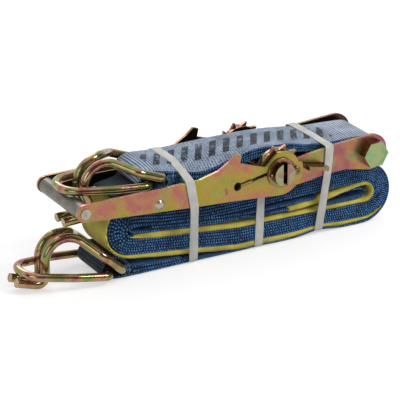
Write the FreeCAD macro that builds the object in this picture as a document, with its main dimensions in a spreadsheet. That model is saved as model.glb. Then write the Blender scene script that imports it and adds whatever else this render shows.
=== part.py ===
import FreeCAD, Part
import math
import os

# Ratchet tie down, packed up: the ratchet lies open on its rolled strap.
# Frame of the part: X along the tie down (hooks at -X, anchor bolt at +X),
# Y across the webbing, Z up.  X = 0 is the spindle axis, Z = 0 the floor.

V = FreeCAD.Vector
Y_AXIS = V(0, 1, 0)

# ---------------------------------------------------------------- dimensions
SIZES = {
    # across the webbing
    "webbing_width": 50.0,
    "webbing_layer": 2.9,
    "wear_sleeve": 4.4,
    "frame_gap": 63.0,
    "frame_plate": 3.0,
    "wheel_gap": 0.3,
    "wheel_plate": 3.2,
    "handle_side_gap": 1.5,
    "handle_plate": 3.0,
    "washer_gap": 0.3,
    "washer_plate": 1.5,
    "spindle_proud": 8.0,
    "lock_ear_proud": 4.5,
    "drive_ear_proud": 2.0,
    # heights and lengths along the tie down
    "ratchet_height": 81.0,
    "bolt_reach": 107.0,
    "bolt_drop": 2.0,
    "handle_length": 206.6,
    "grip_drop": 0.4,
    # spindle and wheels
    "spindle_radius": 11.0,
    "spindle_slot": 4.4,
    "running_gap": 0.4,
    "seat_gap": 0.1,
    "wheel_tip_radius": 26.0,
    "wheel_root_radius": 21.5,
    "wheel_phase": 12.0,
    "washer_radius": 15.0,
    "cotter_diameter": 3.0,
    "cotter_length": 27.0,
    "cotter_eye": 2.6,
    "cotter_gap": 0.2,
    # frame
    "frame_nose_radius": 22.0,
    "frame_end_radius": 18.0,
    "web_start": 50.0,
    "web_length": 38.0,
    "web_drop": 14.2,
    "web_plate": 3.0,
    "spring_tab_step": 14.0,
    "spring_tab_foot": 1.0,
    "spring_tab_height": 9.0,
    "spring_tab_plate": 2.5,
    "spring_tab_width": 49.0,
    # anchor bolt
    "bolt_diameter": 16.0,
    "bolt_hex": 24.0,
    "bolt_head": 10.0,
    "nut_height": 12.0,
    "spacer_diameter": 18.0,
    "bolt_gap": 0.2,
    "thread_proud": 3.0,
    # handle
    "handle_eye_radius": 8.5,
    "handle_heel_radius": 23.2,
    "handle_cam_radius": 24.3,
    "handle_crown_radius": 21.0,
    "grip_diameter": 15.5,
    "grip_pin_diameter": 10.0,
    "grip_pin_proud": 0.8,
    "grip_wall": 2.4,
    "rivet_diameter": 6.0,
    "rivet_head_diameter": 10.0,
    "rivet_head": 1.6,
    "rivet_reach": 130.4,
    "rivet_drop": 6.7,
    # pawls: angle of each slide, and where its line crosses the spindle
    "lock_slope": 11.0,
    "lock_rise": 4.9,
    "lock_plate": 4.0,
    "drive_slope": 11.5,
    "drive_rise": 4.45,
    "drive_plate": 2.8,
    "pawl_nose_reach": 27.0,
    "pawl_nose_proud": 0.5,
    "pawl_travel": 4.0,
    "pawl_back_room": 3.5,
    "pawl_slot_gap": 0.5,
    "lock_nose_length": 4.0,
    "lock_nose_step": 2.5,
    "drive_nose_length": 3.0,
    "drive_nose_step": 6.5,
    "drive_slot_gap": 0.3,
    "drive_slot_start": 15.5,
    "keyhole_radius": 4.2,
    "keyhole_step": 2.4,
    "lock_back_reach": 52.0,
    "drive_back_reach": 46.0,
    "spring_diameter": 6.0,
    "spring_wire": 0.9,
    "spring_spread": 18.0,
    "spring_seat_reach": 60.0,
    "spring_seat_plate": 2.5,
    "spring_seat_height": 10.0,
    "seat_tongue_height": 6.0,
    "seat_slot_gap": 0.2,
    # hooks and keepers
    "hook_rod": 8.5,
    "keeper_rod": 8.0,
    "bar_half_width": 31.5,
    "bar_corner": 6.0,
    "prong_half_spread": 7.2,
    "hook_shoulder_reach": 20.6,
    "hook_shoulder_rise": 18.3,
    "hook_crest_reach": 38.0,
    "hook_crest_rise": 34.0,
    "hook_bend_reach": 68.8,
    "hook_lip_reach": 80.0,
    "hook_throat_drop": 8.3,
    "hook_lip_drop": 6.0,
    "hook_length": 98.5,
    "hook_tip_drop": 0.2,
    "keeper_length": 79.0,
    "keeper_shoulder_reach": 34.0,
    "keeper_shoulder": 28.0,
    "keeper_nose": 16.2,
    "keeper_nose_radius": 18.0,
    "grip_to_hook_bar": 86.8,
    "upper_hook_rise": 13.4,
    "upper_bar_step": 13.5,
    "upper_keeper_rise": 8.6,
    "roll_to_hook_bar": 12.9,
    "lower_hook_height": 11.0,
    "lower_bar_step": 12.6,
    "lower_keeper_height": 7.9,
    "lower_eye_length": 12.9,
    "upper_eye_length": 21.8,
    "eye_to_strap": 0.5,
    "eye_gap": 0.3,
    "upper_hook_dip": 20.0,
    "upper_keeper_tilt": 3.0,
    "lower_keeper_tilt": 7.6,
    # rolled strap: a round right end, a round left end, and a knee above and below
    "coil_right_reach": 106.0,
    "coil_right_radius": 31.8,
    "grip_to_roll": 56.6,
    "coil_left_height": 48.0,
    "coil_left_radius": 32.9,
    "knee_top_reach": 70.0,
    "knee_top_height": 66.0,
    "knee_bottom_reach": 34.0,
    "roll_to_tail_end": 37.0,
    "roll_to_sleeve_end": 22.0,
    "middle_turns": 6,
    # rubber bands
    "band_width": 8.5,
    "band_thickness": 1.0,
    "band_gap": 0.4,
    "band_corner": 0.8,
    "grip_to_band": 120.6,
    "band_middle_reach": 12.0,
    "band_right_reach": 55.0,
}

doc = FreeCAD.newDocument("ratchet_tie_down")
sheet = doc.addObject("Spreadsheet::Sheet", "dims")
for row, (alias, number) in enumerate(SIZES.items(), start=1):
    sheet.set("A%d" % row, alias)
    sheet.set("B%d" % row, str(number))
    sheet.setAlias("B%d" % row, alias)
doc.recompute()


def size(alias):
    """A driving dimension, read back from the sheet."""
    return float(sheet.get(alias))


# Stations across the webbing, measured from the mid-plane.
WEB_HALF = size("webbing_width") / 2
FRAME_IN = size("frame_gap") / 2
FRAME_OUT = FRAME_IN + size("frame_plate")
WHEEL_IN = FRAME_OUT + size("wheel_gap")
WHEEL_OUT = WHEEL_IN + size("wheel_plate")
HANDLE_IN = WHEEL_OUT + size("handle_side_gap")
HANDLE_OUT = HANDLE_IN + size("handle_plate")
WASHER_IN = HANDLE_OUT + size("washer_gap")
AXLE = (0.0, size("ratchet_height"))
BOLT = (size("bolt_reach"), size("ratchet_height") - size("bolt_drop"))
GRIP = (-size("handle_length"), size("ratchet_height") - size("grip_drop"))
BORE = size("spindle_radius") + size("running_gap")
LAYER = size("webbing_layer")
pieces = []


# ------------------------------------------------------------- outline tools
def polar(radius, degrees, centre=(0.0, 0.0)):
    """Point at a radius and an angle about a centre, in the X-Z plane."""
    angle = math.radians(degrees)
    return (centre[0] + radius * math.cos(angle), centre[1] + radius * math.sin(angle))


def shifted(points, origin):
    """Outline items moved from their own origin to a place in the part."""
    moved = []
    for item in points:
        if item[0] == "arc":
            moved.append(("arc",) + tuple((p[0] + origin[0], p[1] + origin[1]) for p in item[1:]))
        else:
            moved.append((item[0] + origin[0], item[1] + origin[1]))
    return moved


def outline(items):
    """Closed outline: points joined by lines, and ("arc", middle, end) for round stretches."""
    edges = []
    last = items[0]
    for item in list(items[1:]) + [items[0]]:
        if item[0] == "arc":
            middle, end = item[1], item[2]
            edges.append(Part.Arc(V(last[0], last[1], 0), V(middle[0], middle[1], 0), V(end[0], end[1], 0)))
        else:
            end = item
            if math.hypot(end[0] - last[0], end[1] - last[1]) > 1e-6:
                edges.append(Part.LineSegment(V(last[0], last[1], 0), V(end[0], end[1], 0)))
        last = end
    return edges


def circle(centre, radius):
    return [Part.Circle(V(centre[0], centre[1], 0), V(0, 0, 1), radius)]


def slot_box(start, stop, half_height, slope, origin):
    """Slot along a sloping line: outline of a rectangle from start to stop along it."""
    along = (math.cos(math.radians(slope)), math.sin(math.radians(slope)))
    corners = [(start, -half_height), (stop, -half_height), (stop, half_height), (start, half_height)]
    return [(origin[0] + u * along[0] - w * along[1], origin[1] + u * along[1] + w * along[0])
            for u, w in corners]


def rounded_path(points, radii, closed=False):
    """Runs and tangent arcs through the corner points, as (start, end, centre or None)."""
    count = len(points)
    corners = []
    for index, point in enumerate(points):
        if not closed and index in (0, count - 1):
            corners.append((point, point, None))
            continue
        before = points[index - 1]
        after = points[(index + 1) % count]
        back = V(before[0] - point[0], before[1] - point[1], 0).normalize()
        ahead = V(after[0] - point[0], after[1] - point[1], 0).normalize()
        half = back.getAngle(ahead) / 2
        reach = radii[index] / math.tan(half)
        bisector = (back + ahead).normalize()
        centre = V(point[0], point[1], 0) + bisector * (radii[index] / math.sin(half))
        first = V(point[0], point[1], 0) + back * reach
        second = V(point[0], point[1], 0) + ahead * reach
        corners.append(((first.x, first.y), (second.x, second.y), (centre.x, centre.y)))
    stretches = []
    for index, (arrive, leave, centre) in enumerate(corners):
        if centre:
            stretches.append((arrive, leave, centre))
        if index + 1 < count or closed:
            stretches.append((leave, corners[(index + 1) % count][0], None))
    return stretches


def offset_stretch(stretch, distance):
    """One run or arc moved sideways, to the left of its direction for a positive distance."""
    start, end, centre = stretch
    if centre is None:
        along = V(end[0] - start[0], end[1] - start[1], 0).normalize()
        side = (-along.y * distance, along.x * distance)
        return (start[0] + side[0], start[1] + side[1]), (end[0] + side[0], end[1] + side[1]), None
    inward = V(centre[0] - start[0], centre[1] - start[1], 0)
    chord = V(end[0] - start[0], end[1] - start[1], 0)
    turns_left = chord.cross(inward).z > 0
    radius = inward.Length
    scale = (radius - distance if turns_left else radius + distance) / radius
    moved = [(centre[0] + (p[0] - centre[0]) * scale, centre[1] + (p[1] - centre[1]) * scale)
             for p in (start, end)]
    return moved[0], moved[1], centre


def stretch_item(stretch):
    """Outline item that ends a stretch: an arc through its middle, or a plain point."""
    start, end, centre = stretch
    if centre is None:
        return end
    radius = math.hypot(start[0] - centre[0], start[1] - centre[1])
    middle = V(start[0] + end[0] - 2 * centre[0], start[1] + end[1] - 2 * centre[1], 0).normalize() * radius
    return ("arc", (centre[0] + middle.x, centre[1] + middle.y), end)


def ribbon(points, radii, thickness, closed=False):
    """Outlines of a flat strap of a given thickness seen edge on."""
    path = rounded_path(points, radii, closed)
    sides = []
    for distance in (thickness / 2, -thickness / 2):
        side = [offset_stretch(stretch, distance) for stretch in path]
        sides.append([s for s in side if math.hypot(s[1][0] - s[0][0], s[1][1] - s[0][1]) > 1e-6])
    if closed:
        return [outline([side[0][0]] + [stretch_item(s) for s in side]) for side in sides]
    there = [sides[0][0][0]] + [stretch_item(s) for s in sides[0]]
    back = [(s[1], s[0], s[2]) for s in reversed(sides[1])]
    return [outline(there + [back[0][0]] + [stretch_item(s) for s in back])]


# ----------------------------------------------------------------- piece tools
def plane_of(body, role):
    for feature in body.Origin.OriginFeatures:
        if feature.Role == role:
            return feature
    raise ValueError(role)


def new_body(label):
    body = doc.addObject("PartDesign::Body", label)
    body.Label = label
    pieces.append(body)
    return body


def add_pad(body, name, plane, outlines, length, midplane=False, reverse=False, level=0.0):
    """Sketch on one of the body's origin planes, padded to a length from the sheet."""
    sketch = body.newObject("Sketcher::SketchObject", name + "_sketch")
    sketch.AttachmentSupport = (plane_of(body, plane), [""])
    sketch.MapMode = "FlatFace"
    sketch.AttachmentOffset = FreeCAD.Placement(V(0, 0, level), FreeCAD.Rotation())
    for edges in outlines:
        sketch.addGeometry(edges, False)
    pad = body.newObject("PartDesign::Pad", name)
    pad.Profile = sketch
    pad.setExpression("Length", length)
    pad.Midplane = midplane
    pad.Reversed = reverse
    body.Tip = pad
    return pad


def side_plate(label, outlines, thickness, start):
    """Flat plate in the X-Z plane; its inner face lies at Y = start, and it grows outwards."""
    body = new_body(label)
    add_pad(body, label + "_pad", "XZ_Plane", outlines, thickness, reverse=start > 0)
    body.Placement = FreeCAD.Placement(V(0, start, 0), FreeCAD.Rotation())
    return body


def across(label, outlines, width):
    """Solid with one outline in the X-Z plane, the same on both sides of the mid-plane."""
    body = new_body(label)
    add_pad(body, label + "_pad", "XZ_Plane", outlines, width, midplane=True)
    return body


def cylinder(name, radius, height, centre, start):
    """Part cylinder along +Y whose near end lies at Y = start."""
    item = doc.addObject("Part::Cylinder", name)
    item.setExpression("Radius", radius)
    item.setExpression("Height", height)
    item.Placement = FreeCAD.Placement(V(centre[0], start, centre[1]), FreeCAD.Rotation(V(1, 0, 0), -90))
    return item


def hexagon(name, flats, height, centre, start):
    """Hexagon prism along +Y whose near end lies at Y = start."""
    item = doc.addObject("Part::Prism", name)
    item.Polygon = 6
    item.setExpression("Circumradius", "%s / sqrt(3)" % flats)
    item.setExpression("Height", height)
    item.Placement = FreeCAD.Placement(V(centre[0], start, centre[1]), FreeCAD.Rotation(V(1, 0, 0), -90))
    return item


def joined(label, items):
    fuse = doc.addObject("Part::MultiFuse", label)
    fuse.Label = label
    fuse.Shapes = items
    pieces.append(fuse)
    return fuse


def cut(label, base, tool):
    item = doc.addObject("Part::Cut", label)
    item.Label = label
    item.Base = base
    item.Tool = tool
    pieces.append(item)
    return item


def shape_piece(label, shape, placement=None):
    """Piece whose shape no single feature makes, such as a bent rod or a group of solids."""
    item = doc.addObject("Part::Feature", label)
    item.Label = label
    item.Shape = shape
    if placement:
        item.Placement = placement
    pieces.append(item)
    return item


# ------------------------------------------------------------------- the frame
def frame_outlines():
    nose = size("frame_nose_radius")
    end = size("frame_end_radius")
    bolt = (BOLT[0] - AXLE[0], BOLT[1] - AXLE[1])
    profile = [polar(nose, 20), (51.9, 11.2), (62.9, 13.0), polar(end, 97, bolt),
               ("arc", polar(end, 0, bolt), polar(end, -105, bolt)),
               (78.5, -14.8), (58.0, -15.4), (25.5, -19.7), polar(nose, -62),
               ("arc", polar(nose, 159), polar(nose, 20))]
    half_slot = size("lock_plate") / 2 + size("pawl_slot_gap")
    nose_back = size("pawl_nose_reach") + size("lock_nose_length")
    start = nose_back - size("pawl_travel") - size("pawl_slot_gap")
    slot = slot_box(start, size("lock_back_reach") + size("pawl_back_room"), half_slot,
                    -size("lock_slope"), (AXLE[0], AXLE[1] + size("lock_rise")))
    return [outline(shifted(profile, AXLE)), circle(AXLE, BORE),
            circle(BOLT, size("bolt_diameter") / 2 + size("bolt_gap")), outline(slot)]


def make_frame():
    body = new_body("frame")
    floor_z = AXLE[1] - size("web_drop")
    start = size("web_start")
    stop = start + size("web_length")
    web = [(start, floor_z), (stop, floor_z), (stop, floor_z + size("web_plate")),
           (start, floor_z + size("web_plate"))]
    add_pad(body, "web", "XZ_Plane", [outline(web)], "dims.frame_gap + 2 * dims.frame_plate", midplane=True)
    for name, side in (("near_plate", -1), ("far_plate", 1)):
        level = FRAME_IN if side < 0 else -FRAME_IN
        add_pad(body, name, "XZ_Plane", frame_outlines(), "dims.frame_plate",
                reverse=side > 0, level=level)
    tab_x = start + size("spring_tab_step")
    tab_back = tab_x + size("spring_tab_plate")
    foot = floor_z + size("spring_tab_foot")
    top = floor_z + size("spring_tab_height")
    tab = [(tab_x, foot), (tab_back, foot), (tab_back, top), (tab_x, top)]
    add_pad(body, "spring_tab", "XZ_Plane", [outline(tab)], "dims.spring_tab_width", midplane=True)
    return tab_x


def make_anchor():
    bolt_radius = "dims.bolt_diameter / 2"
    head = hexagon("bolt_head_part", "dims.bolt_hex", "dims.bolt_head", BOLT, -FRAME_OUT - size("bolt_head"))
    grip_length = "dims.frame_gap + 2 * dims.frame_plate + dims.nut_height"
    shank = cylinder("bolt_shank", bolt_radius, grip_length + " + dims.thread_proud", BOLT, -FRAME_OUT)
    joined("anchor_bolt", [head, shank])
    nut = hexagon("nut_blank", "dims.bolt_hex", "dims.nut_height", BOLT, FRAME_OUT)
    bore = cylinder("nut_bore", bolt_radius, "dims.nut_height", BOLT, FRAME_OUT)
    cut("anchor_nut", nut, bore)
    length = "dims.frame_gap - 2 * dims.bolt_gap"
    start = -FRAME_IN + size("bolt_gap")
    outer = cylinder("spacer_outer", "dims.spacer_diameter / 2", length, BOLT, start)
    inner = cylinder("spacer_inner", bolt_radius, length, BOLT, start)
    cut("bolt_spacer", outer, inner)


# ------------------------------------------------------------- spindle and wheels
def half_round(radius, gap, side):
    """Half of a split round bar: the flat faces the slot, the rest is the arc."""
    flat = gap / 2
    rise = math.sqrt(radius * radius - flat * flat)
    points = [(side * flat, -rise), ("arc", (side * radius, 0.0), (side * flat, rise))]
    return outline(shifted(points, AXLE))


def make_spindle():
    slot = size("spindle_slot")
    for label, side in (("spindle_half_left", -1), ("spindle_half_right", 1)):
        body = new_body(label)
        add_pad(body, label + "_pad", "XZ_Plane", [half_round(size("spindle_radius"), slot, side)],
                "dims.frame_gap + 2 * (dims.frame_plate + dims.wheel_gap + dims.wheel_plate"
                " + dims.handle_side_gap + dims.handle_plate + dims.spindle_proud)", midplane=True)
        for number, place in enumerate((-1, 1)):
            hole = body.newObject("Sketcher::SketchObject", "%s_hole_sketch_%d" % (label, number))
            hole.AttachmentSupport = (plane_of(body, "YZ_Plane"), [""])
            hole.MapMode = "FlatFace"
            radius = size("cotter_diameter") / 2 + size("seat_gap")
            hole.addGeometry(circle((place * cotter_station(), AXLE[1]), radius), False)
            pocket = body.newObject("PartDesign::Pocket", "%s_hole_%d" % (label, number))
            pocket.Profile = hole
            pocket.Type = "ThroughAll"
            pocket.Midplane = True
            body.Tip = pocket


def cotter_station():
    """Distance of the cotter pins from the mid-plane, just outside the washers."""
    return WASHER_IN + size("washer_plate") + size("cotter_gap") + size("cotter_diameter") / 2


def wheel_outline():
    """Ratchet wheel: each tooth has a steep face, a root arc and a long back."""
    teeth = 12
    pitch = 360.0 / teeth
    tooth_top = 1.5
    face_lean = 0.5
    root_end = 14.0
    tip = size("wheel_tip_radius")
    root = size("wheel_root_radius")
    points = []
    for index in range(teeth):
        steep = size("wheel_phase") - index * pitch
        points += [polar(tip, steep + tooth_top), polar(tip, steep), polar(root, steep - face_lean),
                   ("arc", polar(root, steep - root_end / 2), polar(root, steep - root_end))]
    return outline(shifted(points, AXLE))


def make_wheels():
    radius = size("spindle_radius") + size("seat_gap")
    slot = size("spindle_slot") - 2 * size("seat_gap")
    bores = [half_round(radius, slot, side) for side in (-1, 1)]
    for label, start in (("ratchet_wheel_near", -WHEEL_IN), ("ratchet_wheel_far", WHEEL_IN)):
        side_plate(label, [wheel_outline()] + bores, "dims.wheel_plate", start)


def make_spindle_fasteners():
    """Washers and cotter pins at both ends, one node for each pair."""
    washers = []
    pins = []
    radius = size("washer_radius")
    plate = size("washer_plate")
    for side in (-1, 1):
        start = WASHER_IN if side > 0 else -WASHER_IN - plate
        disc = Part.makeCylinder(radius, plate, V(AXLE[0], start, AXLE[1]), Y_AXIS)
        bore = size("spindle_radius") + size("seat_gap")
        hole = Part.makeCylinder(bore, plate, V(AXLE[0], start, AXLE[1]), Y_AXIS)
        washers.append(disc.cut(hole))
        length = size("cotter_length")
        base = V(AXLE[0] - length / 2, side * cotter_station(), AXLE[1])
        pin = Part.makeCylinder(size("cotter_diameter") / 2, length, base, V(1, 0, 0))
        eye_centre = base + V(length + size("cotter_eye") - 0.2 * size("cotter_diameter"), 0, 0)
        eye = Part.makeTorus(size("cotter_eye"), size("cotter_diameter") / 2, eye_centre, Y_AXIS)
        pins.append(pin.fuse(eye))
    shape_piece("spindle_washers", Part.makeCompound(washers))
    shape_piece("spindle_cotter_pins", Part.makeCompound(pins))


# ------------------------------------------------------------------- the handle
def handle_outlines():
    length = size("handle_length")
    eye = size("handle_eye_radius")
    heel = size("handle_heel_radius")
    cam = size("handle_cam_radius")
    crown = size("handle_crown_radius")
    profile = [(-length, -eye), (-98.8, -16.2), (-47.2, -19.4), polar(heel, -100),
               ("arc", polar(heel, -70), polar(heel, -42)), polar(cam, -38),
               ("arc", polar(cam, -12), polar(cam, 15)), polar(crown, 18),
               ("arc", polar(crown, 60), polar(crown, 100)), (-17.1, 8.5), (-45.0, 17.5),
               (-43.4, 25.6), (-48.9, 27.5), (-56.8, 21.0), (-67.9, 14.3), (-88.1, 9.3),
               (-length, eye), ("arc", (-length - eye, 0.0), (-length, -eye))]
    half_slot = size("drive_plate") / 2 + size("drive_slot_gap")
    crossing = (AXLE[0], AXLE[1] + size("drive_rise"))
    slope = 180 + size("drive_slope")
    eye_hole = size("keyhole_radius")
    reach = size("drive_back_reach") + size("keyhole_step")
    neck = reach - math.sqrt(eye_hole ** 2 - half_slot ** 2)
    corners = slot_box(size("drive_slot_start"), neck, half_slot, slope, crossing)
    far = slot_box(reach + eye_hole, reach + eye_hole, 0.0, slope, crossing)[0]
    keyhole = [corners[0], corners[1], ("arc", far, corners[2]), corners[3]]
    seat = size("spring_seat_reach")
    gap = size("seat_slot_gap")
    seat_slot = slot_box(seat - gap, seat + size("spring_seat_plate") + gap,
                         size("seat_tongue_height") / 2 + gap, slope, crossing)
    rivet = (AXLE[0] - size("rivet_reach"), AXLE[1] - size("rivet_drop"))
    pin_hole = size("grip_pin_diameter") / 2 + size("seat_gap")
    rivet_hole = size("rivet_diameter") / 2 + size("seat_gap")
    return [outline(shifted(profile, AXLE)), circle(AXLE, BORE), outline(keyhole), outline(seat_slot),
            circle(GRIP, pin_hole), circle(rivet, rivet_hole)]


def make_handle():
    for label, start in (("handle_plate_near", -HANDLE_IN), ("handle_plate_far", HANDLE_IN)):
        side_plate(label, handle_outlines(), "dims.handle_plate", start)
    between = ("2 * (dims.frame_gap / 2 + dims.frame_plate + dims.wheel_gap"
               " + dims.wheel_plate + dims.handle_side_gap)")
    tube = cylinder("grip_outer", "dims.grip_diameter / 2", between, GRIP, -HANDLE_IN)
    bore = cylinder("grip_bore", "dims.grip_diameter / 2 - dims.grip_wall", between, GRIP, -HANDLE_IN)
    cut("grip_tube", tube, bore)
    pin_length = between + " + 2 * (dims.handle_plate + dims.grip_pin_proud)"
    pin = cylinder("grip_pin", "dims.grip_pin_diameter / 2", pin_length, GRIP,
                   -HANDLE_OUT - size("grip_pin_proud"))
    pieces.append(pin)
    rivets = []
    radius = size("rivet_diameter") / 2
    head_radius = size("rivet_head_diameter") / 2
    head = size("rivet_head")
    centre = V(AXLE[0] - size("rivet_reach"), 0, AXLE[1] - size("rivet_drop"))
    for side in (-1, 1):
        outwards = V(0, side, 0)
        shank = Part.makeCylinder(radius, size("handle_plate"), centre + outwards * HANDLE_IN, outwards)
        outer = Part.makeCone(head_radius, head_radius * 0.6, head, centre + outwards * HANDLE_OUT, outwards)
        inner = Part.makeCylinder(head_radius, head, centre + outwards * (HANDLE_IN - head), outwards)
        rivets.append(shank.fuse([outer, inner]))
    shape_piece("handle_rivets", Part.makeCompound(rivets))


# -------------------------------------------------------------------- the pawls
def pawl_frame(rise, turn):
    """Placement of a pawl's own axes: X away from or towards the spindle, Y across."""
    return FreeCAD.Placement(V(AXLE[0], 0, AXLE[1] + rise), FreeCAD.Rotation(Y_AXIS, turn))


def make_pawls():
    nose = size("pawl_nose_reach")
    lock_back = size("lock_back_reach")
    ear = HANDLE_OUT + size("lock_ear_proud")
    nose_edge = WHEEL_OUT + size("pawl_nose_proud")
    throat = nose + size("lock_nose_length")
    throat_edge = WHEEL_IN - size("seat_gap")
    step = nose + size("lock_nose_step")
    half = [(throat, 0.0), (throat, throat_edge), (nose, throat_edge), (nose, nose_edge),
            (step, nose_edge), (step, ear), (lock_back, ear), (lock_back, 0.0)]
    points = half + [(x, -y) for x, y in reversed(half[1:-1])]
    body = new_body("locking_pawl")
    add_pad(body, "locking_pawl_pad", "XY_Plane", [outline(points)], "dims.lock_plate", midplane=True)
    body.Placement = pawl_frame(size("lock_rise"), size("lock_slope"))
    drive_back = size("drive_back_reach")
    ear = HANDLE_OUT + size("drive_ear_proud")
    throat = -nose - size("drive_nose_length")
    throat_edge = FRAME_IN - size("lock_nose_step")
    step = -nose - size("drive_nose_step")
    half = [(throat, 0.0), (throat, throat_edge), (-nose, throat_edge), (-nose, nose_edge),
            (step, nose_edge), (step, ear), (-drive_back, ear), (-drive_back, 0.0)]
    points = half + [(x, -y) for x, y in reversed(half[1:-1])]
    body = new_body("drive_pawl")
    add_pad(body, "drive_pawl_pad", "XY_Plane", [outline(points)], "dims.drive_plate", midplane=True)
    body.Placement = pawl_frame(size("drive_rise"), -size("drive_slope"))


def coil_spring(start, length, side):
    """Closed coil of round wire along X, with its ends just off the two faces."""
    wire_radius = size("spring_wire") / 2
    coil_radius = size("spring_diameter") / 2 - wire_radius
    end_gap = 0.2
    run = length - 2 * (wire_radius + end_gap)
    helix = Part.makeHelix(run / 5, run, coil_radius)
    section = Part.Wire(Part.Circle(V(coil_radius, 0, 0), Y_AXIS, wire_radius).toShape())
    spring = Part.Wire(helix.Edges).makePipeShell([section], True, True)
    spring.rotate(V(0, 0, 0), Y_AXIS, 90)
    spring.translate(V(start + wire_radius + end_gap, side * size("spring_spread"), 0))
    return spring


def make_springs(tab_x):
    """Return springs of both pawls, and the seat that the drive pawl's springs push on."""
    lock_back = size("lock_back_reach")
    slope = math.radians(size("lock_slope"))
    tab_reach = (tab_x - AXLE[0]) / math.cos(slope) - size("spring_diameter") / 2 * math.tan(slope)
    pair = [coil_spring(lock_back, tab_reach - lock_back, side) for side in (-1, 1)]
    shape_piece("locking_pawl_springs", Part.makeCompound(pair),
                pawl_frame(size("lock_rise"), size("lock_slope")))
    drive_back = size("drive_back_reach")
    seat = size("spring_seat_reach")
    pair = [coil_spring(-seat, seat - drive_back, side) for side in (-1, 1)]
    shape_piece("drive_pawl_springs", Part.makeCompound(pair),
                pawl_frame(size("drive_rise"), -size("drive_slope")))
    body = new_body("drive_spring_seat")
    plate = size("spring_seat_plate")
    bar = [(-seat - plate, -HANDLE_IN), (-seat, -HANDLE_IN), (-seat, HANDLE_IN), (-seat - plate, HANDLE_IN)]
    tongue = [(x, y / HANDLE_IN * HANDLE_OUT) for x, y in bar]
    add_pad(body, "seat_bar", "XY_Plane", [outline(bar)], "dims.spring_seat_height", midplane=True)
    add_pad(body, "seat_tongues", "XY_Plane", [outline(tongue)], "dims.seat_tongue_height", midplane=True)
    body.Placement = pawl_frame(size("drive_rise"), -size("drive_slope"))


# ------------------------------------------------------------- hooks and keepers
def bent_rod(points, radii, rod_radius, closed=False):
    """Round rod bent along a three-dimensional path with tangent arcs at its corners."""
    count = len(points)
    spots = [V(*p) for p in points]
    corners = []
    for index, spot in enumerate(spots):
        if not closed and index in (0, count - 1):
            corners.append((spot, spot, spot))
            continue
        back = (spots[index - 1] - spot).normalize()
        ahead = (spots[(index + 1) % count] - spot).normalize()
        half = back.getAngle(ahead) / 2
        reach = radii[index] / math.tan(half)
        inwards = (back + ahead).normalize() * (radii[index] / math.sin(half) - radii[index])
        corners.append((spot + back * reach, spot + inwards, spot + ahead * reach))
    edges = []
    for index, (arrive, middle, leave) in enumerate(corners):
        if (leave - arrive).Length > 1e-6:
            edges.append(Part.Arc(arrive, middle, leave).toShape())
        if index + 1 < count or closed:
            edges.append(Part.LineSegment(leave, corners[(index + 1) % count][0]).toShape())
    path = Part.Wire(edges)
    first = edges[0]
    start = first.valueAt(first.FirstParameter)
    section = Part.Wire(Part.Circle(start, first.tangentAt(first.FirstParameter), rod_radius).toShape())
    rod = path.makePipeShell([section], True, False)
    return rod if rod.Volume > 0 else rod.reversed()


def hook_shape():
    """Double hook bent from one rod: cross bar at the origin, legs and prongs towards -X."""
    bar = size("bar_half_width")
    prong = size("prong_half_spread")
    bend = size("hook_bend_reach")
    crest = size("hook_crest_rise")
    side = [(0.0, bar, 0.0), (-size("hook_shoulder_reach"), bar - 0.5, size("hook_shoulder_rise")),
            (-size("hook_crest_reach"), prong + 0.6, crest), (-bend, prong, crest),
            (-bend, prong, -size("hook_throat_drop")),
            (-size("hook_lip_reach"), prong, -size("hook_lip_drop")),
            (-size("hook_length"), prong, -size("hook_tip_drop"))]
    radii = [size("bar_corner"), 12.0, 18.0, 20.5, 7.2, 6.0, 0.0]
    points = [(x, -y, z) for x, y, z in reversed(side)] + side
    return bent_rod(points, list(reversed(radii)) + radii, size("hook_rod") / 2)


def keeper_shape():
    """Closed wire link: its bar at the origin, its round nose towards -X."""
    bar = size("bar_half_width")
    side = [(0.0, bar, 0.0), (-size("keeper_shoulder_reach"), size("keeper_shoulder"), 0.0),
            (-size("keeper_length"), size("keeper_nose"), 0.0)]
    radii = [size("bar_corner"), 60.0, size("keeper_nose_radius")]
    points = [(x, -y, z) for x, y, z in reversed(side)] + side
    return bent_rod(points, list(reversed(radii)) + radii, size("keeper_rod") / 2, closed=True)


# Bars of the hooks and keepers: the lower pair near the floor, the upper pair over the handle.
COIL_LEFT = (GRIP[0] + size("grip_to_roll"), size("coil_left_height"))
LOWER_HOOK_BAR = (COIL_LEFT[0] - size("roll_to_hook_bar"), size("lower_hook_height"))
LOWER_KEEPER_BAR = (LOWER_HOOK_BAR[0] - size("lower_bar_step"), size("lower_keeper_height"))
UPPER_HOOK_BAR = (GRIP[0] + size("grip_to_hook_bar"), AXLE[1] + size("upper_hook_rise"))
UPPER_KEEPER_BAR = (UPPER_HOOK_BAR[0] - size("upper_bar_step"), AXLE[1] + size("upper_keeper_rise"))


def turned_about(bar, degrees):
    return FreeCAD.Placement(V(bar[0], 0, bar[1]), FreeCAD.Rotation(Y_AXIS, degrees))


def make_hooks():
    shape_piece("lower_hook", hook_shape(), turned_about(LOWER_HOOK_BAR, 0.0))
    shape_piece("lower_keeper", keeper_shape(), turned_about(LOWER_KEEPER_BAR, size("lower_keeper_tilt")))
    shape_piece("upper_hook", hook_shape(), turned_about(UPPER_HOOK_BAR, -size("upper_hook_dip")))
    shape_piece("upper_keeper", keeper_shape(), turned_about(UPPER_KEEPER_BAR, size("upper_keeper_tilt")))


# ---------------------------------------------------------------- straps and coil
def tangent_angle(centre_a, radius_a, centre_b, radius_b, below):
    """Angle of the contact points of the outer tangent from circle a to circle b."""
    heading = math.atan2(centre_b[1] - centre_a[1], centre_b[0] - centre_a[0])
    distance = math.hypot(centre_b[0] - centre_a[0], centre_b[1] - centre_a[1])
    lean = math.acos((radius_a - radius_b) / distance)
    return math.degrees(heading - lean if below else heading + lean)


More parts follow.
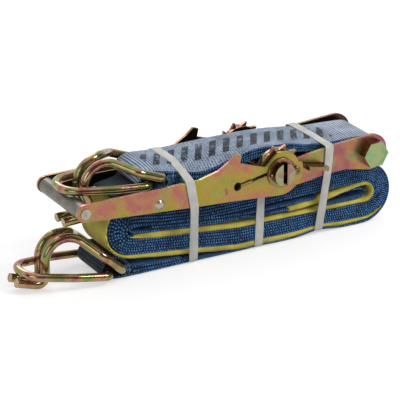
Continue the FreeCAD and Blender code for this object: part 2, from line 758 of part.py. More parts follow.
COIL_RIGHT = (size("coil_right_reach"), size("coil_right_radius"))
KNEE_TOP = (-size("knee_top_reach"), size("knee_top_height"))
KNEE_BOTTOM_X = -size("knee_bottom_reach")
TAIL_END_X = COIL_LEFT[0] + size("roll_to_tail_end")
# Rubber bands: where each crosses the floor, and how far it leans along the strap.
BANDS = ((GRIP[0] + size("grip_to_band"), -7.5), (-size("band_middle_reach"), 0.0),
         (size("band_right_reach"), 3.0))


def coil_marks(inset):
    """Corner places of the rolled strap's outline, a given depth inside its outermost layer."""
    right = size("coil_right_radius") - inset
    left = size("coil_left_radius") - inset
    knee_top = (KNEE_TOP[0], KNEE_TOP[1] - inset)
    knee_bottom = (KNEE_BOTTOM_X, inset)
    top_right = polar(right, tangent_angle(COIL_RIGHT, right, knee_top, 0.0, True), COIL_RIGHT)
    top_left = polar(left, tangent_angle(COIL_LEFT, left, knee_top, 0.0, False), COIL_LEFT)
    low_left = polar(left, tangent_angle(COIL_LEFT, left, knee_bottom, 0.0, True), COIL_LEFT)
    low_right = (COIL_RIGHT[0], inset)
    return {"right": right, "left": left, "knee_top": knee_top, "knee_bottom": knee_bottom,
            "top_right": top_right, "top_left": top_left, "low_left": low_left, "low_right": low_right}


def coil_outline(inset):
    """Closed outline of the rolled strap at a given depth."""
    m = coil_marks(inset)
    return outline([m["low_right"], ("arc", polar(m["right"], 0, COIL_RIGHT), m["top_right"]),
                    m["knee_top"], m["top_left"],
                    ("arc", polar(m["left"], 180, COIL_LEFT), m["low_left"]), m["knee_bottom"]])


def band_lift(lean):
    """Height that a leaning band needs for its lower edge to stay on the floor."""
    return size("band_width") / 2 * math.sin(math.radians(abs(lean)))


def point_between(start, end, x):
    share = (x - start[0]) / (end[0] - start[0])
    return (x, start[1] + share * (end[1] - start[1]))


def make_coil():
    outer = LAYER
    yellow = outer + size("wear_sleeve")
    inner = yellow + size("middle_turns") * LAYER
    core = inner + size("wear_sleeve")
    across("coil_core_turns", [coil_outline(core)], "dims.webbing_width")
    across("inner_yellow_sleeve", [coil_outline(inner), coil_outline(core)], "dims.webbing_width")
    across("coil_middle_turns", [coil_outline(yellow), coil_outline(inner)], "dims.webbing_width")
    a = coil_marks(outer)
    b = coil_marks(yellow)
    start = -38.0
    loose = COIL_LEFT[0] + size("roll_to_sleeve_end")
    tail_top = 2 * LAYER
    sleeve = [polar(a["right"], start, COIL_RIGHT),
              ("arc", polar(a["right"], (start - 90) / 2, COIL_RIGHT), a["low_right"]),
              a["knee_bottom"], a["low_left"], ("arc", polar(a["left"], 180, COIL_LEFT), a["top_left"]),
              point_between(a["top_left"], a["knee_top"], loose),
              point_between(b["top_left"], b["knee_top"], loose), b["top_left"],
              ("arc", polar(b["left"], 180, COIL_LEFT), b["low_left"]), b["knee_bottom"], b["low_right"],
              ("arc", polar(b["right"], (start - 90) / 2, COIL_RIGHT), polar(b["right"], start, COIL_RIGHT))]
    across("outer_yellow_sleeve", [outline(sleeve)], "dims.webbing_width")
    o = coil_marks(0.0)
    turns = [(TAIL_END_X, 0.0), o["low_right"], ("arc", polar(o["right"], 0, COIL_RIGHT), o["top_right"]),
             o["knee_top"], point_between(o["top_left"], o["knee_top"], loose),
             point_between(a["top_left"], a["knee_top"], loose), a["knee_top"], a["top_right"],
             ("arc", polar(a["right"], 0, COIL_RIGHT), a["low_right"]), a["knee_bottom"],
             (TAIL_END_X, tail_top)]
    body = across("coil_outer_turns", [outline(turns)], "dims.webbing_width")
    for number, (place, lean) in enumerate(BANDS):
        groove_sketch = body.newObject("Sketcher::SketchObject", "groove_sketch_%d" % number)
        groove_sketch.AttachmentSupport = (plane_of(body, "XZ_Plane"), [""])
        groove_sketch.MapMode = "FlatFace"
        half = size("band_width") / 2 + 0.6
        deep = size("band_thickness") + 2 * band_lift(lean) + 0.3
        groove_sketch.addGeometry(outline([(place - half, -1.0), (place + half, -1.0),
                                           (place + half, deep), (place - half, deep)]), False)
        groove = body.newObject("PartDesign::Pocket", "groove_%d" % number)
        groove.Profile = groove_sketch
        groove.Type = "ThroughAll"
        groove.Midplane = True
        body.Tip = groove


def make_eyes():
    """Webbing folded round the bars of the hooks and keepers, and the tail of the long strap."""
    wall = 1.25 * LAYER
    hook_bore = size("hook_rod") / 2 + size("eye_gap")
    keeper_bore = size("keeper_rod") / 2 + size("eye_gap")
    low = LOWER_KEEPER_BAR[1] - keeper_bore
    keeper_out = keeper_bore + low
    hook_out = hook_bore + wall
    top = tangent_angle(LOWER_KEEPER_BAR, keeper_out, LOWER_HOOK_BAR, hook_out, False)
    end_x = LOWER_HOOK_BAR[0] + size("lower_eye_length")
    sleeve = [(end_x, 0.0), (LOWER_KEEPER_BAR[0], 0.0),
              ("arc", polar(keeper_out, 180, LOWER_KEEPER_BAR), polar(keeper_out, top, LOWER_KEEPER_BAR)),
              polar(hook_out, top, LOWER_HOOK_BAR),
              ("arc", polar(hook_out, 75, LOWER_HOOK_BAR), polar(hook_out, 40, LOWER_HOOK_BAR)),
              (end_x, 2 * LAYER)]
    bores = [circle(LOWER_KEEPER_BAR, keeper_bore), circle(LOWER_HOOK_BAR, hook_bore)]
    across("lower_eye_sleeve", [outline(sleeve)] + bores, "dims.webbing_width")
    tail = [(TAIL_END_X, 0.0), (TAIL_END_X, 2 * LAYER), (end_x, 2 * LAYER), (end_x, 0.0)]
    across("strap_tail", [outline(tail)], "dims.webbing_width")
    length = size("upper_eye_length")
    upper = shifted([(length, -1.9), (length, 6.8), (7.8, 7.2), (-7.2, 11.8), (-17.7, 10.8),
                     ("arc", (-25.2, 3.1), (-22.7, -7.4)), ("arc", (-16.7, -12.6), (-9.2, -11.8)),
                     (4.8, -7.4)], UPPER_HOOK_BAR)
    bores = [circle(UPPER_KEEPER_BAR, keeper_bore), circle(UPPER_HOOK_BAR, hook_bore)]
    across("upper_eye_sleeve", [outline(upper)] + bores, "dims.webbing_width")


def make_fixed_strap():
    """Short strap: a sewn loop round the anchor bolt, then layers over the ratchet to the upper eye."""
    loop_in = size("spacer_diameter") / 2 + size("eye_gap")
    loop_out = loop_in + 2 * LAYER
    x, z = BOLT
    end_x = UPPER_HOOK_BAR[0] + size("upper_eye_length") + size("eye_to_strap")
    top = [(54.0, 14.8), (26.0, 18.6), (8.0, 22.3), (-32.0, 20.6), (-62.0, 18.6), (end_x, 20.2)]
    under = [(end_x, 11.5), (-62.0, 9.8), (-32.0, 12.2), (0.0, 13.4), (26.0, 11.4), (54.0, 8.4)]
    strap = [polar(loop_out, 95, BOLT)] + shifted(top + under, AXLE)
    strap += [polar(loop_out, 150, BOLT), ("arc", polar(loop_out, -57.5, BOLT), polar(loop_out, 95, BOLT))]
    across("fixed_strap", [outline(strap), circle((x, z), loop_in)], "dims.webbing_width")


# ------------------------------------------------------------------ rubber bands
def band_piece(label, place, corners):
    """Closed rubber loop in a leaning Y-Z plane; corners run up the +Y side from the floor."""
    half = size("band_thickness") / 2
    ring = [(y, z) for y, z in corners] + [(-y, z) for y, z in reversed(corners)]
    radii = [size("band_corner")] * len(ring)
    bottom_x, lean = place
    body = new_body(label)
    add_pad(body, label + "_pad", "YZ_Plane", ribbon(ring, radii, 2 * half, closed=True),
            "dims.band_width", midplane=True)
    body.Placement = FreeCAD.Placement(V(bottom_x, 0, band_lift(lean)), FreeCAD.Rotation(Y_AXIS, lean))


def make_bands():
    half = size("band_thickness") / 2
    side = WEB_HALF + size("band_gap") + half
    plate = HANDLE_OUT + size("band_gap") + half
    frame_side = FRAME_OUT + size("band_gap") + half
    band_piece("rubber_band_left", BANDS[0],
               [(side, half), (plate, AXLE[1] - 20.0), (plate, AXLE[1] + 12.0), (side, AXLE[1] + 23.0)])
    band_piece("rubber_band_middle", BANDS[1], [(side, half), (side, 67.5)])
    band_piece("rubber_band_right", BANDS[2],
               [(side, half), (frame_side, AXLE[1] - 17.5), (frame_side, AXLE[1] + 14.5),
                (side, AXLE[1] + 16.6)])


# ------------------------------------------------------------------ build and write
tab_face = make_frame()
make_anchor()
make_spindle()
make_wheels()
make_spindle_fasteners()
make_handle()
make_pawls()
make_springs(tab_face)
make_hooks()
make_coil()
make_eyes()
make_fixed_strap()
make_bands()
doc.recompute()

problems = [item.Name for item in doc.Objects if "Invalid" in item.State or "Error" in item.State]
for piece in pieces:
    if piece.Shape.isNull() or not piece.Shape.isValid() or piece.Shape.Volume <= 0:
        problems.append(piece.Label)
if problems:
    raise RuntimeError("pieces that did not build: " + ", ".join(sorted(set(problems))))

os.makedirs("parts", exist_ok=True)
for piece in pieces:
    piece.Shape.exportStep(os.path.join("parts", piece.Label + ".step"))
    box = piece.Shape.BoundBox
    print("%-24s solids %d  volume %10.1f  x %7.1f %7.1f  y %6.1f %6.1f  z %6.1f %6.1f" % (
        piece.Label, len(piece.Shape.Solids), piece.Shape.Volume,
        box.XMin, box.XMax, box.YMin, box.YMax, box.ZMin, box.ZMax))
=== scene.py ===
# %% [markdown]
# # Ratchet tie down
# This notebook dresses a packed ratchet tie down: a steel ratchet lying on its own rolled strap.
# The steel parts come ready made from the frame, so they only get better finishes. Everything woven
# or rubber is built here: the strap, its wear sleeves, the sewn loops and the rubber bands.

# %% Load the frame
import bmesh
import bpy
import math
import random
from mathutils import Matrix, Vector, noise


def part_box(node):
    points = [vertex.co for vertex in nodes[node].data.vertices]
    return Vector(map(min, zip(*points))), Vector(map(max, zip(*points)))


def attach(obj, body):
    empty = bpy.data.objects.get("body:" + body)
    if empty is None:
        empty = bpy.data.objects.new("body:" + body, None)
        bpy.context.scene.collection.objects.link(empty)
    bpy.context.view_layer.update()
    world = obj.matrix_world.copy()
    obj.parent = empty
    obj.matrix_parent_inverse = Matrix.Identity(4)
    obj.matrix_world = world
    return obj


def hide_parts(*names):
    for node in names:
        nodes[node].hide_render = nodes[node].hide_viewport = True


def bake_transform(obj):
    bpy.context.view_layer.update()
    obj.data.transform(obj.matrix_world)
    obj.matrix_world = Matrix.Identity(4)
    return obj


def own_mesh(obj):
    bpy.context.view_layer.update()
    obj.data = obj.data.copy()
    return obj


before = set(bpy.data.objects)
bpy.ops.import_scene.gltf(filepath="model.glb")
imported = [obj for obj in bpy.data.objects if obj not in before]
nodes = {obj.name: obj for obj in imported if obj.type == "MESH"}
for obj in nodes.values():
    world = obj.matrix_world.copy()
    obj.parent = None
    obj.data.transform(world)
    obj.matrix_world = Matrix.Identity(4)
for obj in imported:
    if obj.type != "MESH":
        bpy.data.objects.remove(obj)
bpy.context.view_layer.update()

# %% [markdown]
# ## Measures taken from the frame
# The rolled strap has a round end near the anchor bolt and another under the grip. Their middles and
# sizes are read from the boxes of the CAD solids, so the woven turns always follow the steel.

# %% Places and sizes
MM = 0.001
WEBBING = 50 * MM
PLY = 2.35 * MM
roll_low, roll_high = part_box("coil_outer_turns")
sleeve_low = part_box("outer_yellow_sleeve")[0]
bolt_low, bolt_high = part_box("bolt_spacer")
bolt = ((bolt_low[0] + bolt_high[0]) / 2, (bolt_low[2] + bolt_high[2]) / 2)

# %% [markdown]
# ## A small kit for node materials
# Every finish is a procedural node tree: no image files, only noise, waves and colour ramps. Building
# such trees by hand in the shader editor works too, but in code the same few steps come back in each
# finish. So each step gets a helper: one node with its sockets set, one sum, one soft step, one colour
# ramp, one mix of two colours, and a new material with its Principled shader.

# %% Node helpers
def node(tree, kind, **sockets):
    """A node of a tree, with values or links for its sockets by name, or by number as i0, i1."""
    made = tree.nodes.new("ShaderNode" + kind)
    for name, value in sockets.items():
        key = int(name[1:]) if name[0] == "i" and name[1:].isdigit() else name.replace("_", " ")
        if isinstance(value, bpy.types.NodeSocket):
            tree.links.new(value, made.inputs[key])
        else:
            made.inputs[key].default_value = value
    return made


def maths(tree, operation, *values):
    """One arithmetic step on numbers or links."""
    made = node(tree, "Math", **{"i%d" % number: value for number, value in enumerate(values)})
    made.operation = operation
    return made.outputs[0]


def smooth_step(tree, value, low, high):
    """0 below low, 1 above high, and a soft ramp between."""
    made = node(tree, "MapRange", Value=value, From_Min=low, From_Max=high)
    made.interpolation_type = "SMOOTHSTEP"
    return made.outputs[0]


def ramp(tree, factor, stops):
    """Colour ramp from (position, colour) stops."""
    made = node(tree, "ValToRGB", Fac=factor)
    band = made.color_ramp
    band.elements[0].position = stops[0][0]
    band.elements[1].position = stops[-1][0]
    for place, colour in stops[1:-1]:
        band.elements.new(place)
    for element, (place, colour) in zip(band.elements, stops):
        element.color = paint(colour)
    return made.outputs[0]


def blend_colours(tree, factor, first, second, mode="MIX"):
    """First colour at factor 0, second at factor 1; both may be links or values."""
    made = tree.nodes.new("ShaderNodeMix")
    made.data_type = "RGBA"
    made.blend_type = mode
    share, colour_a, colour_b = (made.inputs[number] for number in (0, 6, 7))
    for socket, value in ((share, factor), (colour_a, first), (colour_b, second)):
        if isinstance(value, bpy.types.NodeSocket):
            tree.links.new(value, socket)
        else:
            socket.default_value = value
    return made.outputs[2]


def paint(rgb):
    """Linear colour, with alpha, of a display colour given in 0 to 255 (the sRGB curve)."""
    linear = [c / 255 / 12.92 if c <= 10 else ((c / 255 + 0.055) / 1.055) ** 2.4 for c in rgb]
    return (*linear, 1.0)


def new_finish(name, **constants):
    """Material with its tree and Principled shader; constants go on the shader's own sockets."""
    finish = bpy.data.materials.new(name)
    finish.use_nodes = True
    tree = finish.node_tree
    shader = tree.nodes["Principled BSDF"]
    for socket, value in constants.items():
        shader.inputs[socket.replace("_", " ")].default_value = value
    return finish, tree, shader


def feed(tree, shader, **links):
    """Links node outputs to the shader's sockets."""
    for socket, value in links.items():
        tree.links.new(value, shader.inputs[socket.replace("_", " ")])


def object_place(tree):
    """Where a point lies on the object, in metres."""
    return node(tree, "TexCoord").outputs["Object"]


def facing_y(tree):
    """How far a face looks towards the far side: 1 fully, -1 towards the near side."""
    return node(tree, "SeparateXYZ", Vector=node(tree, "TexCoord").outputs["Normal"]).outputs[1]


def rounded_edges(tree, radius):
    """Normal that lights sharp edges as if they were rounded off."""
    bevel = node(tree, "Bevel", Radius=radius)
    bevel.samples = 4
    return bevel.outputs[0]


print("node helpers ready, white paint is", paint((255, 255, 255)))

# %% [markdown]
# ## Yellow passivated zinc
# Pressed steel parts like the handle and the frame are zinc plated and dipped in a chromate bath, which
# leaves a thin film with soft rainbow patches: straw yellow, olive, pink and green. Painting patches by
# hand would be slow, so two layers of noise in object space pick colours from ramps. A bevel normal
# rounds the sheared edges for the light and gives a mask on which a paler rim colour is painted, as the
# edges' highlight. The faces that look in towards the webbing are painted dark brown, as their shade.
# Those faces are found by their position and direction together: on them, y times the normal's y is below
# zero.

# %% Zinc finish
INWARD_FROM, INWARD_FULL = -12 * MM, -30 * MM


def inner_face_shade(tree):
    """Where the inner faces' painted shade goes: 1 on faces that look towards the middle of the webbing, 0
    on faces that look outwards.
    """
    across = node(tree, "SeparateXYZ", Vector=object_place(tree)).outputs[1]
    turned_in = maths(tree, "MULTIPLY", across, facing_y(tree))
    return smooth_step(tree, turned_in, INWARD_FROM, INWARD_FULL)


def zinc(name, patch, seed, stops, roughness, rim=(176, 172, 122), inside=None, rounding=0.5 * MM,
         tinted=0.6):
    """Chromated zinc. patch is how many colour patches lie on a metre, stops are their colours, rim is
    the paler colour painted on the edges as their highlight, inside the colour painted on inner faces as
    their shade, and tinted the share of the second layer."""
    finish, tree, shader = new_finish(name, Metallic=0.9, Coat_Weight=0.2, Coat_Roughness=0.10)
    place = object_place(tree)
    moved = node(tree, "VectorMath", i0=place, i1=(seed, seed * 0.7, seed * 1.3)).outputs[0]
    cloud = node(tree, "TexNoise", Vector=moved, Scale=patch, Detail=2.0, Roughness=0.45, Distortion=0.6)
    base = ramp(tree, cloud.outputs[0], stops)
    drift = node(tree, "TexNoise", Vector=moved, Scale=patch * 2.1, Detail=1.0, Distortion=0.8)
    tint = ramp(tree, drift.outputs[0], [(0.0, (186, 92, 112)), (0.42, (190, 128, 92)),
                                         (0.58, (172, 160, 66)), (0.8, (104, 158, 100))])
    share = smooth_step(tree, drift.outputs[0], 0.38, 0.72)
    film = blend_colours(tree, maths(tree, "MULTIPLY", share, tinted), base, tint)
    grain = node(tree, "TexNoise", Vector=place, Scale=1400.0, Detail=3.0)
    mottle = ramp(tree, grain.outputs[0], [(0.3, (214, 214, 214)), (0.7, (255, 255, 255))])
    film = blend_colours(tree, 1.0, film, mottle, "MULTIPLY")
    # painted shade: faces that look in towards the webbing take the dark inside colour
    if inside:
        film = blend_colours(tree, inner_face_shade(tree), film, paint(inside))
    rounded = rounded_edges(tree, rounding)
    flat = node(tree, "NewGeometry").outputs["Normal"]
    turn = node(tree, "VectorMath", i0=rounded, i1=flat)
    turn.operation = "DOT_PRODUCT"
    # painted highlight: the sharp edges found here take the paler rim colour
    edge = smooth_step(tree, turn.outputs["Value"], 0.995, 0.93)
    film = blend_colours(tree, maths(tree, "MULTIPLY", edge, 0.45), film, paint(rim))
    rough = maths(tree, "MULTIPLY_ADD", cloud.outputs[0], 0.16, roughness - 0.08)
    scratch = node(tree, "TexNoise", Vector=place, Scale=420.0, Detail=4.0)
    bump = node(tree, "Bump", Height=scratch.outputs[0], Strength=0.05, Distance=0.4 * MM,
                Normal=rounded)
    feed(tree, shader, Base_Color=film, Roughness=rough, Normal=bump.outputs[0])
    return finish


print("inner faces turn dark between", INWARD_FROM, "and", INWARD_FULL)

# %% Four zinc finishes
PLATE_STOPS = [(0.30, (168, 82, 98)), (0.41, (180, 108, 98)), (0.50, (182, 130, 84)),
               (0.58, (170, 150, 56)), (0.66, (150, 150, 62)), (0.76, (182, 112, 104))]
FRAME_STOPS = [(0.30, (150, 82, 92)), (0.42, (170, 108, 98)), (0.52, (176, 122, 84)),
               (0.60, (176, 148, 60)), (0.70, (166, 110, 94)), (0.80, (120, 144, 78))]
GOLD_STOPS = [(0.30, (112, 52, 54)), (0.45, (152, 96, 80)), (0.60, (148, 112, 78)),
              (0.75, (104, 116, 72))]
ROD_STOPS = [(0.30, (132, 70, 68)), (0.40, (168, 108, 94)), (0.48, (180, 148, 114)),
             (0.57, (156, 138, 84)), (0.64, (118, 140, 86)), (0.70, (164, 118, 92)),
             (0.84, (142, 74, 72))]
# inside: painted shade on the plates' inner faces; rim: painted highlight on their edges
handle_zinc = zinc("handle_zinc", 24.0, 0.31, PLATE_STOPS, 0.34, rim=(140, 148, 96), inside=(50, 42, 22))
frame_zinc = zinc("frame_zinc", 26.0, 1.71, FRAME_STOPS, 0.34, rim=(140, 138, 88), inside=(66, 40, 22))
gold_zinc = zinc("gold_zinc", 60.0, 2.9, GOLD_STOPS, 0.26, tinted=0.35)
rod_zinc = zinc("rod_zinc", 50.0, 4.2, ROD_STOPS, 0.16, rounding=0.3 * MM, tinted=0.25)
zinc_finishes = [handle_zinc, frame_zinc, gold_zinc, rod_zinc]
print("zinc finishes:", [finish.name for finish in zinc_finishes])

# %% [markdown]
# ## Plated bar stock
# The spindle and the anchor bolt are cut from round and hexagon bar. Their end faces keep the pale
# plating colours, while their sides are glossy and painted dark, as the shade and dark reflections on
# them. Two materials per part would need each face picked by hand. Both lie along the y axis, so the
# direction of a face tells them apart.

# %% Bar finish with painted shade on the sides
def shaded_side_zinc(name, face_stops, side):
    """Bar stock: its end faces are pale, its sides are glossy and painted dark as their shade."""
    finish, tree, shader = new_finish(name, Metallic=0.95, Coat_Weight=0.3, Coat_Roughness=0.06)
    cloud = node(tree, "TexNoise", Vector=object_place(tree), Scale=90.0, Detail=2.0, Distortion=0.7)
    face = ramp(tree, cloud.outputs[0], face_stops)
    # painted shade: the sides take the dark side colour, the end faces the pale plating colours
    lit_side = tuple(c + 46 for c in side)
    shaded_flank = ramp(tree, cloud.outputs[0], [(0.35, side), (0.75, lit_side)])
    end_face = smooth_step(tree, maths(tree, "ABSOLUTE", facing_y(tree)), 0.90, 0.97)
    colour = blend_colours(tree, end_face, shaded_flank, face)
    rough = maths(tree, "MULTIPLY_ADD", end_face, 0.14, 0.18)
    feed(tree, shader, Base_Color=colour, Roughness=rough)
    return finish


# the last colour of each is the painted shade of the sides
spindle_zinc = shaded_side_zinc("spindle_zinc", [(0.35, (150, 112, 104)), (0.5, (142, 150, 104)),
                                          (0.7, (126, 152, 96))], (74, 32, 28))
head_zinc = shaded_side_zinc("head_zinc", [(0.30, (112, 146, 100)), (0.5, (138, 160, 112)),
                                    (0.72, (160, 152, 94))], (112, 76, 40))
print("bar finishes:", [m.name for m in (spindle_zinc, head_zinc)])

# %% [markdown]
# ## Bare steel
# The grip tube, the spring wire, the grip's pin and the rivets carry little or no film. A drawn tube
# shows fine lines, which noise gives when it is stretched more one way than the other. Wire and pins
# are too thin to show lines, so for them the noise is stretched the same all ways.

# %% Steel finish
def steel(name, colour, dark, roughness, along):
    """Drawn steel. along is how finely the lines repeat in x, y and z, so a low number is their way."""
    finish, tree, shader = new_finish(name, Metallic=0.85)
    place = object_place(tree)
    stretched = node(tree, "VectorMath", i0=place, i1=along)
    stretched.operation = "MULTIPLY"
    lines = node(tree, "TexNoise", Vector=stretched.outputs[0], Scale=1.0, Detail=4.0)
    stain = node(tree, "TexNoise", Vector=place, Scale=70.0, Detail=3.0)
    mixed = maths(tree, "MULTIPLY_ADD", lines.outputs[0], 0.6,
                  maths(tree, "MULTIPLY", stain.outputs[0], 0.5))
    tone = ramp(tree, mixed, [(0.35, dark), (0.75, colour)])
    smoothest, dullest = roughness - 0.06, roughness + 0.10
    rough = node(tree, "MapRange", Value=stain.outputs[0], To_Min=smoothest, To_Max=dullest)
    bump = node(tree, "Bump", Height=lines.outputs[0], Strength=0.12, Distance=0.3 * MM,
                Normal=rounded_edges(tree, 0.4 * MM))
    feed(tree, shader, Base_Color=tone, Roughness=rough.outputs[0], Normal=bump.outputs[0])
    return finish


tube_steel = steel("tube_steel", (132, 130, 122), (78, 76, 70), 0.38, (900.0, 60.0, 900.0))
wire_steel = steel("wire_steel", (150, 146, 136), (84, 80, 72), 0.30, (300.0, 300.0, 300.0))
pin_steel = steel("pin_steel", (186, 180, 172), (128, 120, 112), 0.28, (200.0, 200.0, 200.0))
print("steel finishes:", [m.name for m in (tube_steel, wire_steel, pin_steel)])

# %% [markdown]
# ## Woven finishes
# Webbing shows ribs across its width on the face and a row of small bright loops along each edge, where
# the weft turns back. Modelling each thread would take millions of faces, and noise in object space
# would run straight through the bends. So each strap carries a map of its length and width in metres,
# and a mark that is 1 on its edges. The weave is drawn from those with sine waves, so it bends with the
# strap and never stretches. The weaves differ in colours, in how far apart their ribs lie, and in whether
# the edges show loops.

# %% Webbing finish
THREAD_PERIOD = 0.95 * MM
RIB_WOBBLE = 1.1 * MM


def strap_map(tree):
    """Length along the strap, place across it, and the mark for its edges."""
    parts = node(tree, "SeparateXYZ", Vector=node(tree, "UVMap").outputs[0])
    mark = node(tree, "Attribute")
    mark.attribute_name = "edge"
    return parts.outputs[0], parts.outputs[1], mark.outputs["Fac"]


def wave(tree, value, period, shift=0.0):
    """0 to 1 sine along a length."""
    turned = maths(tree, "MULTIPLY_ADD", value, 2 * math.pi / period, shift)
    return maths(tree, "MULTIPLY_ADD", maths(tree, "SINE", turned), 0.5, 0.5)


def webbing(name, groove, rib, edge_dark, edge_loop, rib_period=2.4 * MM, slant=0.0,
            loop_period=2.6 * MM, looped=1.0, dress=None):
    """Woven finish. slant leans the ribs over, looped is how strongly the edge shows its weft loops, and
    dress adds what lies on the face, as a function that takes and returns the face's colour."""
    finish, tree, shader = new_finish(name, Metallic=0.0, Roughness=0.72, Sheen_Weight=0.08,
                                      Sheen_Roughness=0.4, Specular_IOR_Level=0.2)
    along, across, mark = strap_map(tree)
    place = object_place(tree)
    wander = node(tree, "TexNoise", Vector=place, Scale=160.0, Detail=2.0)
    nudge = maths(tree, "MULTIPLY", wander.outputs[0], RIB_WOBBLE)
    height_up = node(tree, "SeparateXYZ", Vector=place).outputs[2]
    leaning = maths(tree, "MULTIPLY", maths(tree, "ADD", across, height_up), slant)
    rib_line = maths(tree, "ADD", maths(tree, "ADD", leaning, along), nudge)
    ribs = wave(tree, rib_line, rib_period)
    threads = wave(tree, across, THREAD_PERIOD)
    fibre = node(tree, "TexNoise", Vector=place, Scale=1900.0, Detail=2.0)
    lit = maths(tree, "ADD", maths(tree, "MULTIPLY", ribs, 0.72),
                maths(tree, "MULTIPLY", threads, 0.16))
    lit = maths(tree, "ADD", lit, maths(tree, "MULTIPLY", fibre.outputs[0], 0.2))
    face = ramp(tree, lit, [(0.26, groove), (0.60, rib)])
    if dress:
        face = dress(tree, face, along, across, ribs)
    soil = node(tree, "TexNoise", Vector=place, Scale=48.0, Detail=3.0)
    tone = ramp(tree, soil.outputs[0], [(0.32, (200, 200, 200)), (0.66, (255, 255, 255))])
    face = blend_colours(tree, 1.0, face, tone, "MULTIPLY")
    loops = wave(tree, maths(tree, "MULTIPLY_ADD", height_up, 0.3, along), loop_period,
                 maths(tree, "MULTIPLY", wander.outputs[0], 6.0))
    glint = node(tree, "TexNoise", Vector=place, Scale=430.0, Detail=2.0, Roughness=0.6)
    patchy = node(tree, "TexNoise", Vector=place, Scale=75.0, Detail=2.0)
    strength = maths(tree, "ADD", maths(tree, "MULTIPLY", loops, 0.62), glint.outputs[0])
    strength = maths(tree, "MULTIPLY_ADD", patchy.outputs[0], 0.5, strength)
    spark = smooth_step(tree, strength, 0.98, 1.38)
    crest = maths(tree, "MULTIPLY", smooth_step(tree, mark, 0.45, 1.0), looped)
    edge_middle = tuple((a + b) // 2 for a, b in zip(edge_dark, edge_loop))
    side = ramp(tree, maths(tree, "MULTIPLY", spark, crest),
                [(0.0, edge_dark), (0.45, edge_middle), (1.0, edge_loop)])
    edge_share = maths(tree, "MULTIPLY", smooth_step(tree, mark, 0.05, 0.5), looped)
    colour = blend_colours(tree, edge_share, face, side)
    height = maths(tree, "ADD", maths(tree, "MULTIPLY", lit, 0.6),
                   maths(tree, "MULTIPLY", maths(tree, "MULTIPLY", loops, mark), looped))
    bump = node(tree, "Bump", Height=height, Strength=0.55, Distance=0.35 * MM)
    feed(tree, shader, Base_Color=colour, Normal=bump.outputs[0])
    return finish


blue_webbing = webbing("blue_webbing", (18, 48, 88), (66, 106, 154), (5, 20, 42), (80, 136, 192))
navy_sleeve = webbing("navy_sleeve", (14, 22, 30), (46, 62, 74), (8, 22, 36), (66, 108, 142),
                      rib_period=3.1 * MM)
yellow_sleeve = webbing("yellow_sleeve", (150, 132, 34), (216, 204, 104), (150, 130, 34), (226, 212, 116),
                        rib_period=1.7 * MM, slant=0.8, looped=0.0)
print("woven finishes:", [m.name for m in (blue_webbing, navy_sleeve, yellow_sleeve)])

# %% [markdown]
# ## Wear and ink on the fixed strap
# The short strap's face has faded to pale grey blue. A row of plain slanted ink bars runs down its
# middle, half rubbed away. Near the bolt the ribs are still crisp, and at the hook end a dark sleeve is
# sewn over it. All of that could be one painted image, but the strap's own map gives it without one:
# each mark is a window, 1 between two places along or across the strap, and the window sets how much
# of the mark's colour is mixed into the face.

# %% Worn face
BAR_PERIOD = 15.0 * MM
BARS_ALONG = (12 * MM, 214 * MM)
BARS_ACROSS = (11 * MM, 38 * MM)
RUBBED = (14 * MM, 205 * MM)
NOT_CRISP = (14 * MM, 340 * MM)
SLEEVED = (238 * MM, 286 * MM)
# where the painted shade of the hollow beside the upper hook lies along the ring
SHADED_HOLLOW = (290 * MM, 322 * MM)


def window(tree, value, limits, soft):
    """1 between two limits, with soft flanks."""
    low, high = limits
    rise = smooth_step(tree, value, low - soft, low + soft)
    fall = smooth_step(tree, value, high + soft, high - soft)
    return maths(tree, "MULTIPLY", rise, fall)


def worn_print(tree, face, along, across, ribs):
    """Plain ink bars down the middle of the fixed strap, rubbed off the ribs, the dark sleeve sewn
    over the part that wraps the hook's bar, and painted shade in the hollow just past that sleeve."""
    place = object_place(tree)
    bar = wave(tree, maths(tree, "MULTIPLY_ADD", across, 0.6, along), BAR_PERIOD)
    bars = smooth_step(tree, bar, 0.46, 0.60)
    run = window(tree, along, BARS_ALONG, 1.5 * MM)
    middle = window(tree, across, BARS_ACROSS, 1.2 * MM)
    rubbing = node(tree, "TexNoise", Vector=place, Scale=210.0, Detail=5.0, Roughness=0.7)
    kept = smooth_step(tree, maths(tree, "MULTIPLY_ADD", ribs, 0.14, rubbing.outputs[0]), 0.42, 0.55)
    ink = maths(tree, "MULTIPLY", maths(tree, "MULTIPLY", bars, run),
                maths(tree, "MULTIPLY", middle, kept))
    crisp_ribs = ramp(tree, ribs, [(0.30, (52, 84, 128)), (0.62, (214, 222, 232))])
    dull = window(tree, along, NOT_CRISP, 6 * MM)
    face = blend_colours(tree, maths(tree, "SUBTRACT", 0.85, maths(tree, "MULTIPLY", dull, 0.85)),
                         face, crisp_ribs)
    rubbed = window(tree, along, RUBBED, 6 * MM)
    speckle = node(tree, "TexNoise", Vector=place, Scale=560.0, Detail=4.0, Roughness=0.7)
    flecks = ramp(tree, speckle.outputs[0], [(0.40, (48, 74, 108)), (0.60, (186, 198, 212))])
    face = blend_colours(tree, maths(tree, "MULTIPLY", rubbed, 0.5), face, flecks)
    face = blend_colours(tree, maths(tree, "MULTIPLY", ink, 0.94), face, paint((26, 28, 32)))
    # painted shade: the hollow beside the upper hook, just past the sleeve, is darkened to near black navy
    hollow_shade = maths(tree, "MULTIPLY", window(tree, along, SHADED_HOLLOW, 6 * MM), 0.75)
    face = blend_colours(tree, hollow_shade, face, paint((12, 22, 36)))
    sleeve = ramp(tree, ribs, [(0.2, (20, 30, 40)), (0.8, (64, 80, 94))])
    return blend_colours(tree, window(tree, along, SLEEVED, 0.6 * MM), face, sleeve)


